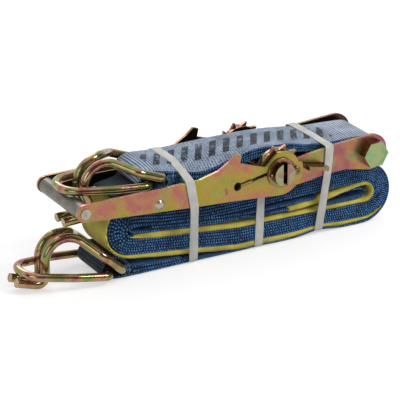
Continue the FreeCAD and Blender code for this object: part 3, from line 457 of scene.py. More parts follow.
faded_webbing = webbing("faded_webbing", (46, 74, 112), (168, 183, 200), (8, 28, 62), (92, 140, 196),
                        rib_period=2.8 * MM, dress=worn_print)
print("worn finish:", faded_webbing.name, "with ink bars every", BAR_PERIOD, "m")

# %% [markdown]
# ## Rubber
# The bands are plain stretched rubber: matt light grey with a little dust and a fine grain. One flat
# colour would look like plastic, so a coarse noise lays the dust on and a fine one roughens the skin.

# %% Rubber finish
def rubber(name, colour, dusty):
    """Matt rubber that goes from a clean to a dusty colour."""
    finish, tree, shader = new_finish(name, Metallic=0.0, Roughness=0.62, Specular_IOR_Level=0.3)
    place = object_place(tree)
    dust = node(tree, "TexNoise", Vector=place, Scale=90.0, Detail=4.0)
    grain = node(tree, "TexNoise", Vector=place, Scale=2200.0, Detail=2.0)
    tone = ramp(tree, dust.outputs[0], [(0.35, colour), (0.70, dusty)])
    bump = node(tree, "Bump", Height=grain.outputs[0], Strength=0.25, Distance=0.2 * MM)
    feed(tree, shader, Base_Color=tone, Normal=bump.outputs[0])
    return finish


grey_rubber = rubber("grey_rubber", (176, 175, 169), (196, 195, 190))
print("rubber finish:", grey_rubber.name)

# %% [markdown]
# ## The path of the rolled strap
# The long strap is rolled up flat: it starts at the lower hook's eye, runs along the floor, turns up
# round the far end, comes back over the top, and so on inwards for nine turns. A real roll isn't a
# perfect spiral: it is packed tight at the round ends and loose in between. A cloth simulation could
# pack it, but it would take long, and where each turn ends up is hard to steer. So the path is described
# by stops round one turn, and at each stop the depth of every turn is listed in millimetres. All other
# points are worked out between the stops, and the corners are then eased by averaging.
# A turn is counted as a share: it starts at the lower knee, follows the floor to 0.20, goes round the
# right end to 0.33, comes back over the top to the upper knee at 0.58, slopes down to the left end at
# 0.70, and goes round that to 0.83 and back to the lower knee at 1.

# %% Stops round the roll
FLOOR_END, RIGHT_END, TOP_KNEE, LEFT_START, LEFT_STOP = 0.20, 0.33, 0.58, 0.70, 0.83
roll_half_height = (roll_high[2] - roll_low[2]) / 2
END_RIGHT = (roll_high[0] - roll_half_height + 6.8 * MM, 31.8 * MM)
END_LEFT = (sleeve_low[0] + 30.0 * MM, 48.0 * MM)
LEFT_RADIUS = 32.9 * MM
KNEE_TOP = (-70 * MM, 66 * MM)
KNEE_LOW = -34 * MM
TURNS = 9
TURN_STOPS = (0.0, FLOOR_END, 0.265, RIGHT_END, TOP_KNEE, 0.65, LEFT_START, LEFT_STOP, 1.0)
DEPTHS = {
    0.0: (1.45, 5.1, 8.75, 11.65, 14.55, 17.45, 20.35, 23.25, 26.9, 31.2),
    FLOOR_END: (1.45, 5.1, 8.4, 10.9, 13.4, 15.9, 18.4, 20.9, 24.6, 28.6),
    0.265: (1.3, 3.7, 6.1, 8.4, 10.7, 13.0, 15.3, 17.6, 20.7, 23.9),
    RIGHT_END: (1.3, 3.7, 6.1, 8.5, 10.9, 13.3, 15.7, 18.1, 21.3, 24.8),
    TOP_KNEE: (1.45, 4.5, 7.6, 10.7, 13.7, 16.7, 19.7, 22.7, 25.6, 28.0),
    0.65: (4.6, 8.75, 11.65, 14.55, 17.45, 20.35, 23.25, 26.6, 30.0, 30.0),
    LEFT_START: (5.1, 8.75, 11.65, 14.55, 17.45, 20.35, 23.25, 26.6, 30.0, 30.0),
    LEFT_STOP: (5.1, 8.75, 11.65, 14.55, 17.45, 20.35, 23.25, 26.9, 30.0, 30.0),
}
print("the round ends' middles lie at", [[round(v, 4) for v in end] for end in (END_RIGHT, END_LEFT)])

# %% Points of the roll
def tangent(centre, radius, point, below):
    """Angle on a circle of the tangent that leads to a point."""
    heading = math.atan2(point[1] - centre[1], point[0] - centre[0])
    lean = math.acos(min(1.0, radius / math.dist(centre, point)))
    return heading - lean if below else heading + lean


def on_circle(centre, radius, angle):
    """Point on a circle."""
    return (centre[0] + radius * math.cos(angle), centre[1] + radius * math.sin(angle))


def between(a, b, share):
    """Point a share of the way from a to b."""
    return (a[0] + (b[0] - a[0]) * share, a[1] + (b[1] - a[1]) * share)


def roll_place(fraction, depth):
    """Point of the roll at a fraction of a turn from the lower knee, a given depth inside it."""
    right = END_RIGHT[1] - depth
    left = LEFT_RADIUS - depth
    left_middle = (END_LEFT[0], END_LEFT[1] - 0.10 * depth)
    top = (KNEE_TOP[0], KNEE_TOP[1] - depth)
    low = (KNEE_LOW, depth)
    right_end = tangent(END_RIGHT, right, top, True)
    left_start = tangent(left_middle, left, top, False)
    left_end = tangent(left_middle, left, low, True) + 2 * math.pi
    legs = ((0.0, FLOOR_END, low, (END_RIGHT[0], depth)),
            (RIGHT_END, TOP_KNEE, on_circle(END_RIGHT, right, right_end), top),
            (TOP_KNEE, LEFT_START, top, on_circle(left_middle, left, left_start)),
            (LEFT_STOP, 1.0, on_circle(left_middle, left, left_end), low))
    for start, stop, first, last in legs:
        if start <= fraction <= stop:
            return between(first, last, (fraction - start) / (stop - start))
    if fraction < RIGHT_END:
        share = (fraction - FLOOR_END) / (RIGHT_END - FLOOR_END)
        return on_circle(END_RIGHT, right, -math.pi / 2 + share * (right_end + math.pi / 2))
    share = (fraction - LEFT_START) / (LEFT_STOP - LEFT_START)
    return on_circle(left_middle, left, left_start + share * (left_end - left_start))


print("outermost strap over the middle lies", round(roll_place(0.45, 1.3 * MM)[1], 4), "m up")

# %% Path of the roll
def roll_depth(turns):
    """Depth of the strap's middle after so many turns."""
    whole, fraction = int(turns), turns - int(turns)
    for start, stop in zip(TURN_STOPS, TURN_STOPS[1:]):
        if fraction <= stop:
            break
    first = DEPTHS[start][whole]
    last = DEPTHS[0.0][min(whole + 1, TURNS)] if stop == 1.0 else DEPTHS[stop][whole]
    share = (fraction - start) / (stop - start)
    return (first + (last - first) * share) * MM


print("inside the roll the ninth turn lies", round(roll_depth(8.5), 4), "m deep")

# %% Pinches under the bands
PINCHES = ((3.2, 55, 17), (1.2, -86, 18), (0.8, -12, 14))
PINCH_HEIGHT = 26 * MM


def pinched(point):
    """The bands pull the lowest turns up a little where they pass under the roll. Each pinch has a lift,
    a middle and a reach in millimetres, and dies out towards the pinch height."""
    x, z = point
    pull = sum(lift * math.exp(-((x / MM - middle) / reach) ** 2) for lift, middle, reach in PINCHES)
    fading = max(0.0, 1 - z / PINCH_HEIGHT)
    return (x, z + pull * MM * fading)


def turns_path(start, stop, step=0.004):
    """The roll's middle line between two turn counts."""
    count = int((stop - start) / step)
    places = [start + (stop - start) * number / count for number in range(count + 1)]
    return [pinched(roll_place(turn - int(turn), roll_depth(turn))) for turn in places]


outer_turn = turns_path(0, 0.99)
outer_turn_length = sum(math.dist(a, b) for a, b in zip(outer_turn, outer_turn[1:]))
print("one outer turn takes", round(outer_turn_length, 3), "m of strap")

# %% [markdown]
# ## From a line to a woven strap
# A flat strap could be a curve with a flat bevel, but then its edges couldn't carry their own weave.
# Here a cross section with rounded edges is carried along the line instead. The line is first eased and
# cut into equal steps, and each station gets a little sideways wander, as webbing never rolls up true.
# A sewn sleeve is also fuller in some places than in others, so the thickness may follow a list of
# stops. Strap and bands are both tubes of equal cross sections, so they share the two helpers below.

# %% Mesh helpers
def tube_faces(rows, around, closed):
    """Faces between cross sections of a tube, which is joined end to end if closed, or else capped."""
    faces = [(row * around + col, row * around + (col + 1) % around,
              (row + 1) % rows * around + (col + 1) % around, (row + 1) % rows * around + col)
             for row in range(rows if closed else rows - 1) for col in range(around)]
    if not closed:
        faces.append(tuple(range(around)))
        faces.append(tuple((rows - 1) * around + col for col in reversed(range(around))))
    return faces


def add_piece(name, verts, faces, finish, smooth=True):
    """New object in the scene, with all its faces turned outwards."""
    mesh = bpy.data.meshes.new(name)
    mesh.from_pydata(verts, [], faces)
    mesh.polygons.foreach_set("use_smooth", [smooth] * len(mesh.polygons))
    mesh.materials.append(finish)
    shell = bmesh.new()
    shell.from_mesh(mesh)
    bmesh.ops.recalc_face_normals(shell, faces=shell.faces)
    shell.to_mesh(mesh)
    shell.free()
    piece = bpy.data.objects.new(name, mesh)
    bpy.context.scene.collection.objects.link(piece)
    return piece


print("a closed tube of 3 squares has", len(tube_faces(3, 4, True)), "faces")

# %% Line helpers
def in_metres(points):
    """Points given in millimetres, as metres."""
    return [(x * MM, z * MM) for x, z in points]


def eased(line, step, rounds=3):
    """The line with soft corners, cut into equal steps, and its length."""
    for _ in range(rounds):
        line = [line[0]] + [((a[0] + 2 * b[0] + c[0]) / 4, (a[1] + 2 * b[1] + c[1]) / 4)
                            for a, b, c in zip(line, line[1:], line[2:])] + [line[-1]]
    lengths = [0.0]
    for a, b in zip(line, line[1:]):
        lengths.append(lengths[-1] + math.dist(a, b))
    count = max(2, round(lengths[-1] / step))
    stations, leg = [], 0
    for number in range(count + 1):
        want = lengths[-1] * number / count
        while leg < len(lengths) - 2 and lengths[leg + 1] < want:
            leg += 1
        stations.append(between(line[leg], line[leg + 1],
                                (want - lengths[leg]) / (lengths[leg + 1] - lengths[leg])))
    return stations, lengths[-1]


def level(stops, value):
    """Reads a value off a list of (place, height) points joined by straight lines."""
    value = min(max(value, stops[0][0]), stops[-1][0])
    for (x0, h0), (x1, h1) in zip(stops, stops[1:]):
        if value <= x1:
            break
    return h0 + (h1 - h0) * (value - x0) / (x1 - x0)


def section(width, thick, columns):
    """Cross section of webbing as (across, up, edge mark), once round, with rounded edges."""
    half, round_off = width / 2, thick / 2
    flat = half - round_off
    top = [(-flat + 2 * flat * c / columns, thick / 2, 0.0) for c in range(columns + 1)]
    far = [(flat + round_off * math.cos(a), round_off * math.sin(a), 1.0)
           for a in (math.pi / 4, 0.0, -math.pi / 4)]
    low = [(x, -z, mark) for x, z, mark in reversed(top)]
    near = [(-x, z, mark) for x, z, mark in reversed(far)]
    return top + far + low + near


print("cross section of the strap has", len(section(WEBBING, PLY, 2)), "points")

# %% Strap builder
def strap(name, line, finish, thick=PLY, width=WEBBING, step=2.6 * MM, columns=2, seed=0.0,
          wander=0.45 * MM, sag=None, closed=False, fullness=((0, 1), (1, 1))):
    """Woven strap along an (x, z) line. sag moves a point down by where it lies along and across, and
    fullness scales the thickness by the share of the length."""
    stations, length = eased(line, step)
    if closed:
        stations = stations[:-1]
    ring = section(width, thick, columns)
    verts, marks, maps = [], [], []
    count, last = len(stations), len(stations) - 1
    for number, (x, z) in enumerate(stations):
        if closed:
            before, after = stations[number - 1], stations[(number + 1) % count]
        else:
            before, after = stations[max(0, number - 1)], stations[min(last, number + 1)]
        size = math.dist(before, after)
        up = (-(after[1] - before[1]) / size, (after[0] - before[0]) / size)
        along = number * step
        shift = wander * 2 * noise.noise((along * 14, seed * 7.3, 0.0))
        swell = 1 + 0.10 * noise.noise((along * 90, seed * 3.1, 5.0))
        swell *= level(fullness, number / last)
        for across, rise, mark in ring:
            y = across + shift
            drop = sag(x, y, z) if sag else 0.0
            verts.append((x + up[0] * rise * swell, y, z + up[1] * rise * swell - drop))
            marks.append(mark)
            maps.append((along, across + width / 2))
    around = len(ring)
    piece = add_piece(name, verts, tube_faces(count, around, closed), finish)
    edge = piece.data.attributes.new("edge", "FLOAT", "POINT")
    edge.data.foreach_set("value", marks)
    layer = piece.data.uv_layers.new(name="strap")
    for face in piece.data.polygons:
        # the faces that join the last row to the first read the map one full length further on
        seam = closed and max(face.vertices) - min(face.vertices) > 2 * around
        for loop_index, vertex in zip(face.loop_indices, face.vertices):
            once_round = count * step if seam and vertex < around else 0.0
            layer.data[loop_index].uv = (maps[vertex][0] + once_round, maps[vertex][1])
    return piece, length


print("strap builder ready for webbing of", WEBBING, "by", PLY, "m")

# %% [markdown]
# ## The long strap and its two wear sleeves
# The blue strap shows in three lengths, because two yellow sleeves hide it in between. The outer sleeve
# is the skin of the roll under the grip and comes back above the floor ply. The inner sleeve runs
# through the middle and folds back near the anchor bolt, where it leaves a small open loop. One closed
# strap with sleeves drawn on it would be simpler, but a sleeve is thicker than the strap and slides on
# it, so each is a piece of its own that stands for one solid of the frame.

# %% Outer turns and tail
tail_line = in_metres([(-149.5, 1.5), (-130, 1.45), (-100, 1.45), (-60, 1.45)])
outer_line = [pinched(p) for p in tail_line] + turns_path(0.0, 0.672)
strap_outer, outer_length = strap("strap_outer", outer_line, blue_webbing, seed=1.0)
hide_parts("coil_outer_turns", "strap_tail")
print("outer turns hold", round(outer_length, 2), "m")

# %% Outer yellow sleeve
OUTER_SLEEVE = 5.0 * MM
SLEEVE_WIDTH = WEBBING + 1.3 * MM
outer_fullness = ((0, 0.5), (0.20, 0.5), (0.28, 0.75), (0.36, 1.1), (0.44, 1.3), (0.70, 1.4),
                  (0.78, 0.9), (0.82, 0.75), (0.86, 1.15), (0.92, 0.9), (1, 0.1))
sleeve_outer, sleeve_outer_length = strap("sleeve_outer", turns_path(0.661, 1.2374), yellow_sleeve,
                                          thick=OUTER_SLEEVE, width=SLEEVE_WIDTH, seed=2.0,
                                          fullness=outer_fullness)
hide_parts("outer_yellow_sleeve")
print("outer sleeve is", round(sleeve_outer_length, 2), "m long")

# %% Middle turns
strap_middle, middle_length = strap("strap_middle", turns_path(1.232, 7.835), blue_webbing, seed=3.0)
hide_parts("coil_middle_turns")
print("middle turns hold", round(middle_length, 2), "m")

# %% Inner yellow sleeve
INNER_SLEEVE = 4.6 * MM
return_leg = in_metres([(92, 41.6), (80, 38.9), (66, 35.6), (52, 33.2), (36, 32.4), (20.5, 32.2)])
inner_line = turns_path(7.812, 8.335) + return_leg
inner_fullness = ((0, 0.1), (0.03, 1.0), (0.08, 1.45), (0.16, 1.25), (0.3, 1.1), (0.5, 0.85), (0.6, 1.0),
                  (0.8, 0.85), (0.9, 1.3), (1, 1.2))
sleeve_inner, sleeve_inner_length = strap("sleeve_inner", inner_line, yellow_sleeve,
                                          thick=INNER_SLEEVE, width=SLEEVE_WIDTH, seed=4.0,
                                          fullness=inner_fullness)
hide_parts("inner_yellow_sleeve")
print("inner sleeve is", round(sleeve_inner_length, 2), "m long")

# %% Core turns
LINING = 1.6 * MM
core_points = [(34, 32.0), (18, 31.8), (-10, 32.0), (-47, 33.6), (-80, 36.4), (-110, 39.2), (-132, 41.8),
               (-145, 43.0), (-151, 43.6), (-154, 45.4), (-155, 47.2), (-154, 49.0), (-151, 50.4),
               (-145, 50.6), (-136, 49.6), (-118, 46.6), (-90, 43.0), (-60, 40.0), (-30, 37.6), (0, 35.6),
               (30, 36.4), (52, 38.4)]
filler_points = [(-130, 45.2), (-118, 43.4), (-104, 41.6), (-84, 39.2), (-60, 37.0), (-36, 35.6),
                 (-24, 35.0)]
lining_points = [(58, 34.4), (70, 36.2), (84, 39.0), (96, 40.0), (106, 39.0), (112, 35.6), (112.5, 32.0),
                 (108, 28.6), (98, 27.2), (84, 27.4), (70, 28.6), (58, 30.0)]
strap_core, core_length = strap("strap_core", in_metres(core_points), blue_webbing, seed=5.0)
strap_filler, filler_length = strap("strap_filler", in_metres(filler_points), blue_webbing, seed=5.5)
strap_lining, lining_length = strap("strap_lining", in_metres(lining_points), blue_webbing, thick=LINING,
                                    seed=6.0)
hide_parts("coil_core_turns")
print("core and lining hold", round(core_length + lining_length, 2), "m")

# %% [markdown]
# ## The tail's folded end
# Where the long strap meets the lower hook it is doubled back and sewn, so two more plies lie on the
# floor ply there and fan apart. They are short straps from the same builder.

# %% Tail plies
tail_one = [(-150, 4.4), (-135, 4.2), (-118, 4.1), (-100, 4.1), (-90, 4.2)]
tail_two = [(-152, 9.4), (-142, 9.0), (-130, 7.6), (-118, 6.9), (-106, 6.8), (-98, 7.0)]
tails = []
for number, points in enumerate((tail_one, tail_two), start=1):
    tails.append(strap("tail_ply_%d" % number, in_metres(points), blue_webbing, seed=6.0 + number))
print("tail plies:", [round(length, 3) for _, length in tails])

# %% [markdown]
# ## The fixed strap
# A short strap is sewn into a ring that passes round the anchor bolt at one end and round the bars of the
# upper hook and its keeper at the other. Folded over the closed ratchet it makes a pile of four plies.
# It is one closed line, and its near edge droops where the pile isn't held, so the builder gets a
# function that lowers points by where they lie. A cloth simulation would sag too, but it would have to
# be held at every band and plate. Listing the droop along the pile, in millimetres, is quicker to steer.

# %% Droop of the near edge
DROOP_STOPS = ((-146, 2), (-120, 4), (-105, 6), (-90, 10), (-74, 13), (-60, 10.5), (-45, 6), (-30, 2.4),
               (-18, 0.0), (18, 0.0), (36, 2.5), (56, 3), (80, 1.2), (124, 0))
DROOP_STARTS_Y = -3 * MM
DROOP_REACH = 22 * MM
LOWER_PLIES_Z = 97 * MM


def droop(x, y, z):
    """How far the pile's near edge hangs down, most between the left band and the handle's fin."""
    depth = level(DROOP_STOPS, x / MM)
    share = max(0.0, (DROOP_STARTS_Y - y) / DROOP_REACH) ** 1.7
    return depth * MM * share * (0.78 if z < LOWER_PLIES_Z else 1.0)


print("the near edge hangs down", round(droop(-74 * MM, -WEBBING / 2, 0.1), 4), "m at most")

# %% Ring of the fixed strap
BOLT_PLY = 13.6 * MM
top_run = [(88, 93.2), (74, 93.0), (62, 93.6), (54, 95.0), (40, 97.4), (26, 99.6), (8, 101.9), (-10, 101.6),
           (-28, 101.2), (-50, 101.4), (-72, 101.6), (-93, 100.2), (-108, 99.4), (-118, 101.8),
           (-127, 104.4), (-134, 104.2), (-140.5, 100.6), (-144.6, 94.8), (-144.6, 89), (-140.5, 84.6),
           (-133, 82.8), (-124, 84.2), (-112, 87.6), (-98, 91.2), (-80, 90.8), (-62, 90.6), (-36, 92.4),
           (-24, 93.2), (-12, 93.7), (0, 93.75), (12, 93.7), (24, 92.8), (38, 91.4), (54, 90.0), (78, 88.2)]
round_bolt = [on_circle(bolt, BOLT_PLY, math.radians(a)) for a in range(150, 451, 12)]
ring_line = in_metres(top_run) + round_bolt
fixed_ply, fixed_length = strap("fixed_strap_ring", ring_line + ring_line[:1], faded_webbing,
                                seed=11.0, wander=0.3 * MM, sag=droop, closed=True, columns=8)
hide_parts("fixed_strap", "upper_eye_sleeve")
print("the ring is", round(fixed_length, 2), "m round")

# %% Plies inside the ring
INNER_BOLT_PLY = 10.7 * MM
second_line = in_metres([(60, 91.6), (54, 92.4), (40, 94.6), (26, 96.8), (8, 98.9), (-10, 98.6), (-28, 98.2),
                         (-50, 98.3), (-72, 98.4), (-93, 97.1), (-104, 96.4)])
third_line = in_metres([(28, 94.9), (8, 96.4), (-10, 96.2), (-28, 95.3), (-50, 94.4), (-72, 94.2),
                        (-90, 94.0)])
second_ply, second_length = strap("fixed_strap_second", second_line, blue_webbing, seed=12.0, sag=droop,
                                  columns=8)
third_ply, third_length = strap("fixed_strap_third", third_line, blue_webbing, seed=13.0, sag=droop,
                                columns=8)
inner_bolt = [on_circle(bolt, INNER_BOLT_PLY, math.radians(a)) for a in range(120, 426, 12)]
bolt_ply, bolt_length = strap("fixed_strap_bolt_ply", inner_bolt + in_metres([(84, 90.6), (66, 91.0)]),
                              blue_webbing, seed=14.0)
print("inner plies:", [round(v, 3) for v in (second_length, third_length, bolt_length)])

# %% Dark sleeve between the bars
TONGUE_WIDTH = 38 * MM
tongue_line = in_metres([(-126, 86.6), (-134, 84.8), (-146, 84.6), (-158, 83.2), (-168, 80.6)])
tongue, tongue_length = strap("eye_sleeve_tongue", tongue_line, navy_sleeve, thick=1.8 * MM,
                              width=TONGUE_WIDTH, seed=15.0, columns=4)
print("sleeve tongue is", round(tongue_length, 3), "m long")

# %% [markdown]
# ## Frayed threads
# Where the sewn end of the strap comes out between the plies beside the hook, cut threads stick out.
# Hair would be too fine and wouldn't be kept, so each thread is a thin three-sided rod on a bent line.

# %% Frayed threads
THREAD_GIRTH = 0.42 * MM
THREAD_SAG = 0.25
JOINTS = 6


def thread_bunch(name, finish, middle, spread, reach, count, seed):
    """Loose ends that start round a middle point and hang outwards and down."""
    draw = random.Random(seed)
    verts, faces = [], []
    for _ in range(count):
        start = [middle[i] + draw.uniform(-1, 1) * spread[i] for i in range(3)]
        aim = (draw.uniform(-0.5, 0.5), draw.uniform(-0.45, -0.1), draw.uniform(-1.0, -0.2))
        long = reach * draw.uniform(0.5, 1.0)
        first = len(verts)
        for station in range(JOINTS):
            share = station / (JOINTS - 1)
            spot = [start[i] + aim[i] * long * share for i in range(3)]
            spot[2] -= THREAD_SAG * share * share * long
            girth = THREAD_GIRTH * (1 - 0.4 * share)
            for corner in range(3):
                x, y = on_circle(spot, girth, math.radians(120 * corner))
                verts.append((x, y, spot[2]))
        faces += [tuple(first + corner for corner in face) for face in tube_faces(JOINTS, 3, False)]
    return add_piece(name, verts, faces, finish, smooth=False)


# %% Two bunches of threads
fray_finish, fray_tree, fray_shader = new_finish("fray_threads", Metallic=0.0, Roughness=0.7)
fray_noise = node(fray_tree, "TexNoise", Vector=object_place(fray_tree), Scale=300.0, Detail=2.0)
feed(fray_tree, fray_shader, Base_Color=ramp(fray_tree, fray_noise.outputs[0], [
    (0.35, (20, 44, 78)), (0.6, (96, 138, 180)), (0.75, (190, 204, 218))]))
upper_fray = thread_bunch("upper_fray", fray_finish, (-106 * MM, -23.5 * MM, 93 * MM),
                          (9 * MM, 1.5 * MM, 2.5 * MM), 10 * MM, 60, 3)
lower_fray = thread_bunch("lower_fray", fray_finish, (-157 * MM, -25.5 * MM, 11 * MM),
                          (3 * MM, 1.0 * MM, 3.0 * MM), 5 * MM, 40, 5)
print("thread bunches:", upper_fray.name, lower_fray.name)

# %% [markdown]
# ## The lower eye
# The tail of the long strap wraps both lower bars. Its bight lies on the floor under the keeper's bar and
# rises over the hook's bar. A dark sleeve covers it, so here the strap is drawn as that sleeve, a little
# thicker than bare webbing.

# %% Lower eye
EYE_SLEEVE = 3.0 * MM
lower_line = in_metres([(-149.8, 1.9), (-160, 1.7), (-170, 1.7), (-178, 2.4), (-184, 6.0), (-185.6, 12.0),
                        (-183, 18.6), (-177, 23.6), (-169.6, 25.2), (-163, 23.4), (-158.4, 19.0),
                        (-155.6, 13.6), (-152.6, 8.4), (-148, 5.2)])
lower_eye, lower_length = strap("lower_eye_ring", lower_line, navy_sleeve, seed=16.0, step=2.0 * MM,
                                thick=EYE_SLEEVE, columns=6)
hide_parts("lower_eye_sleeve")
print("lower eye takes", round(lower_length, 3), "m")

# %% [markdown]
# ## Rubber bands
# Three bands hold the roll. Each is a closed loop stretched over corners: the roll's edge, the steel
# plates and the strap pile. Its corner points are eased, as stretched rubber never bends sharply, then a
# thin rectangle with broken corners is carried round them. The width breathes a little along the way.

# %% Band builder
BAND_PROFILE = [(-0.5, -0.36), (-0.47, -0.5), (0.47, -0.5), (0.5, -0.36), (0.5, 0.36), (0.47, 0.5),
                (-0.47, 0.5), (-0.5, 0.36)]
BAND_STEP = 2.2 * MM


def rubber_band(name, corners, width=8.6 * MM, thick=1.0 * MM):
    """Closed band through (x, y, z) corners given in millimetres."""
    points = [Vector(c) * MM for c in corners]
    dense = []
    for a, b in zip(points, points[1:] + points[:1]):
        pieces = max(2, round((b - a).length / BAND_STEP))
        dense += [a.lerp(b, n / pieces) for n in range(pieces)]
    for _ in range(2):
        dense = [(dense[n - 1] + 2 * dense[n] + dense[(n + 1) % len(dense)]) / 4
                 for n in range(len(dense))]
    verts = []
    for number, spot in enumerate(dense):
        along = (dense[(number + 1) % len(dense)] - dense[number - 1]).normalized()
        side = (Vector((1, 0, 0)) - along * along.x).normalized()
        out = along.cross(side)
        narrow = 1 + 0.05 * math.sin(number * 0.21)
        for across, rise in BAND_PROFILE:
            verts.append(spot + side * across * width * narrow + out * rise * thick)
    return add_piece(name, verts, tube_faces(len(dense), len(BAND_PROFILE), True), grey_rubber)


def both_sides(near):
    """Corners up the near side and, mirrored, down the far side."""
    return near + [(x, -y, z) for x, y, z in reversed(near)]


print("band profile has", len(BAND_PROFILE), "points")

# %% Three bands
left_corners = [(-86, -25.9, 1.0), (-94.2, -43.3, 63.8), (-99, -43.3, 91.2), (-98, -25.6, 96.0),
                (-99, -6, 101.8), (-99.5, 25.6, 102.2), (-99, 43.3, 91.2), (-94.2, 43.3, 63.8),
                (-86, 25.9, 1.0)]
band_left = rubber_band("band_left", left_corners)
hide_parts("rubber_band_left")
band_middle = rubber_band("band_middle", both_sides([(-14, -25.9, 0.9), (-11.4, -25.9, 66.4)]))
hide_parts("rubber_band_middle")
right_corners = [(53.6, -25.9, 3.4), (56.4, -35.4, 64.8), (58.8, -35.4, 94.8), (57.8, -25.6, 95.2),
                 (56, 0, 97.2), (55, 25.6, 97.4), (56.6, 35.4, 94.8), (56.0, 35.4, 64.8),
                 (53.6, 25.9, 3.4)]
band_right = rubber_band("band_right", right_corners)
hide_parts("rubber_band_right")
print("three bands stretched")

# %% [markdown]
# ## Riding on the frame
# Pieces that move get a body: the sleeve tongue and the upper threads go with the handle, and the
# roll, the tail's pieces and the bands stay on the frame. The fixed strap's plies get no body, and the
# left band gets a mesh of its own.

# %% Bodies
for ply, length in ((fixed_ply, fixed_length), (second_ply, second_length), (third_ply, third_length)):
    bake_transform(ply)
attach(tongue, "handle")
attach(upper_fray, "handle")
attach(lower_fray, "ratchet_base")
roll_pieces = [(strap_outer, outer_length, "blue_webbing"), (strap_middle, middle_length, "blue_webbing"),
               (sleeve_outer, sleeve_outer_length, "yellow_sleeve"),
               (sleeve_inner, sleeve_inner_length, "yellow_sleeve"),
               (strap_core, core_length, "blue_webbing"), (strap_lining, lining_length, "blue_webbing"),
               (strap_filler, filler_length, "blue_webbing"),
               (lower_eye, lower_length, "navy_sleeve"), (bolt_ply, bolt_length, "blue_webbing")]
roll_pieces += [(ply, length, "blue_webbing") for ply, length in tails]
for piece, length, finish_slot in roll_pieces:
    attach(piece, "ratchet_base")
for band in (band_middle, band_right, band_left):
    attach(band, "ratchet_base")
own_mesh(band_left)
print(len(roll_pieces) + 4, "woven pieces and 3 bands ride on the frame")

# %% [markdown]
# ## Finishes for the steel parts
# The steel comes from the frame unchanged. Each part only gets the finish that its real counterpart has:
# one table of finishes and parts is easier to read and change than a line per part.

# %% Steel finishes by part
part_finishes = {
    handle_zinc: ("handle_plate_near", "handle_plate_far"),
    frame_zinc: ("frame",),
    spindle_zinc: ("spindle_half_left", "spindle_half_right"),
    gold_zinc: ("ratchet_wheel_near", "ratchet_wheel_far", "locking_pawl", "drive_pawl",
                "drive_spring_seat", "spindle_washers", "spindle_cotter_pins", "anchor_nut"),
    head_zinc: ("anchor_bolt",),
    pin_steel: ("grip_pin", "handle_rivets"),
    rod_zinc: ("upper_hook", "lower_hook", "upper_keeper", "lower_keeper"),
    tube_steel: ("grip_tube",),
    wire_steel: ("locking_pawl_springs", "drive_pawl_springs", "bolt_spacer"),
}
for finish, names in part_finishes.items():
    for name in names:
        for place in nodes[name].material_slots:
            place.material = finish
print(sum(len(names) for names in part_finishes.values()), "steel parts finished")

# %% [markdown]
# ## Studio
# A pale floor, three soft lamps and a camera. The floor and the surroundings look white to the camera
# and in most reflections, while the light that falls on the object stays at a plain level. The Light
# Path node tells the two apart. Shiny steel would look flat in an all white room, so its reflections
# find white only behind and above the object, and a darker wall on the camera's side.

# %% Floor
FLOOR_REACH = 12.0
FLOOR_DROP = 0.6 * MM


def seen(tree):
    """1 for rays that show the background directly or in a reflection."""
    rays = node(tree, "LightPath").outputs
    some = maths(tree, "MAXIMUM", rays["Is Camera Ray"], rays["Is Glossy Ray"])
    return maths(tree, "MAXIMUM", some, rays["Is Transmission Ray"])


floor_mesh = bpy.data.meshes.new("studio_floor")
floor_corners = [(FLOOR_REACH * x, FLOOR_REACH * y, 0) for x, y in ((-1, -1), (1, -1), (1, 1), (-1, 1))]
floor_mesh.from_pydata(floor_corners, [], [(0, 1, 2, 3)])
floor_finish, tree, shader = new_finish("pale_floor", Roughness=0.9, Specular_IOR_Level=0.0)
paper = node(tree, "TexNoise", Scale=4.0)
paper_tone = ramp(tree, paper.outputs[0], [(0.3, (196, 196, 196)), (0.7, (198, 198, 198))])
feed(tree, shader, Base_Color=paper_tone)
shader.inputs["Emission Color"].default_value = (1, 1, 1, 1)
feed(tree, shader, Emission_Strength=maths(tree, "MULTIPLY", seen(tree), 0.52))
floor_mesh.materials.append(floor_finish)
studio_floor = bpy.data.objects.new("studio_floor", floor_mesh)
studio_floor.location.z = -FLOOR_DROP
bpy.context.scene.collection.objects.link(studio_floor)
print("floor reaches", FLOOR_REACH, "m each way")

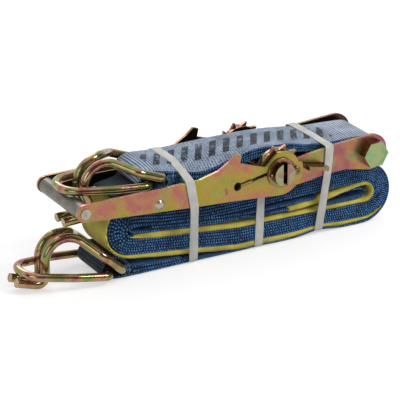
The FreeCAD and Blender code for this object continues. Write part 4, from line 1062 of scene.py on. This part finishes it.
# %% World
world = bpy.data.worlds.new("studio")
bpy.context.scene.world = world
world.use_nodes = True
sky = world.node_tree
rays = node(sky, "LightPath").outputs
heading = node(sky, "SeparateXYZ", Vector=node(sky, "TexCoord").outputs["Generated"]).outputs
behind = smooth_step(sky, heading[1], -0.15, 0.25)
above = smooth_step(sky, heading[2], 0.80, 0.92)
white_share = maths(sky, "MAXIMUM", behind, above)
room = ramp(sky, white_share, [(0.0, (92, 90, 88)), (1.0, (255, 255, 255))])
plain_light = (0.62, 0.62, 0.63, 1.0)
mirrored = blend_colours(sky, rays["Is Camera Ray"], room, paint((255, 255, 255)))
shade = blend_colours(sky, seen(sky), plain_light, mirrored)
sky.links.new(shade, sky.nodes["Background"].inputs[0])
print("world set, its light on the object is", plain_light[:3])

# %% Lamps
LAMP_TARGET = Vector((-0.05, 0, 0.05))


def soft_lamp(name, place, size, watts):
    """Square lamp turned towards the middle of the object."""
    lamp = bpy.data.lights.new(name, "AREA")
    lamp.energy = watts
    lamp.size = size
    holder = bpy.data.objects.new(name, lamp)
    holder.location = place
    holder.rotation_mode = "QUATERNION"
    holder.rotation_quaternion = (LAMP_TARGET - Vector(place)).to_track_quat("-Z", "Y")
    bpy.context.scene.collection.objects.link(holder)


soft_lamp("key_lamp", (1.1, -1.3, 1.7), 0.7, 26.0)
soft_lamp("fill_lamp", (-1.9, -1.2, 0.9), 1.2, 10.0)
soft_lamp("back_lamp", (0.2, 1.8, 1.5), 1.0, 12.0)
print("three lamps lit")

# %% Camera
camera_data = bpy.data.cameras.new("camera")
camera_data.lens = 198.0
camera_data.sensor_width = 36.0
camera_target = Vector((-0.0641, 0.0, 0.0506))
camera = bpy.data.objects.new("camera", camera_data)
camera.location = (-1.0179, -1.6858, 0.8489)
camera.rotation_mode = "QUATERNION"
camera.rotation_quaternion = (camera_target - camera.location).to_track_quat("-Z", "Y")
bpy.context.scene.collection.objects.link(camera)
bpy.context.scene.camera = camera
bpy.context.scene.view_settings.view_transform = "Standard"
print("camera at", [round(c, 3) for c in camera.location])
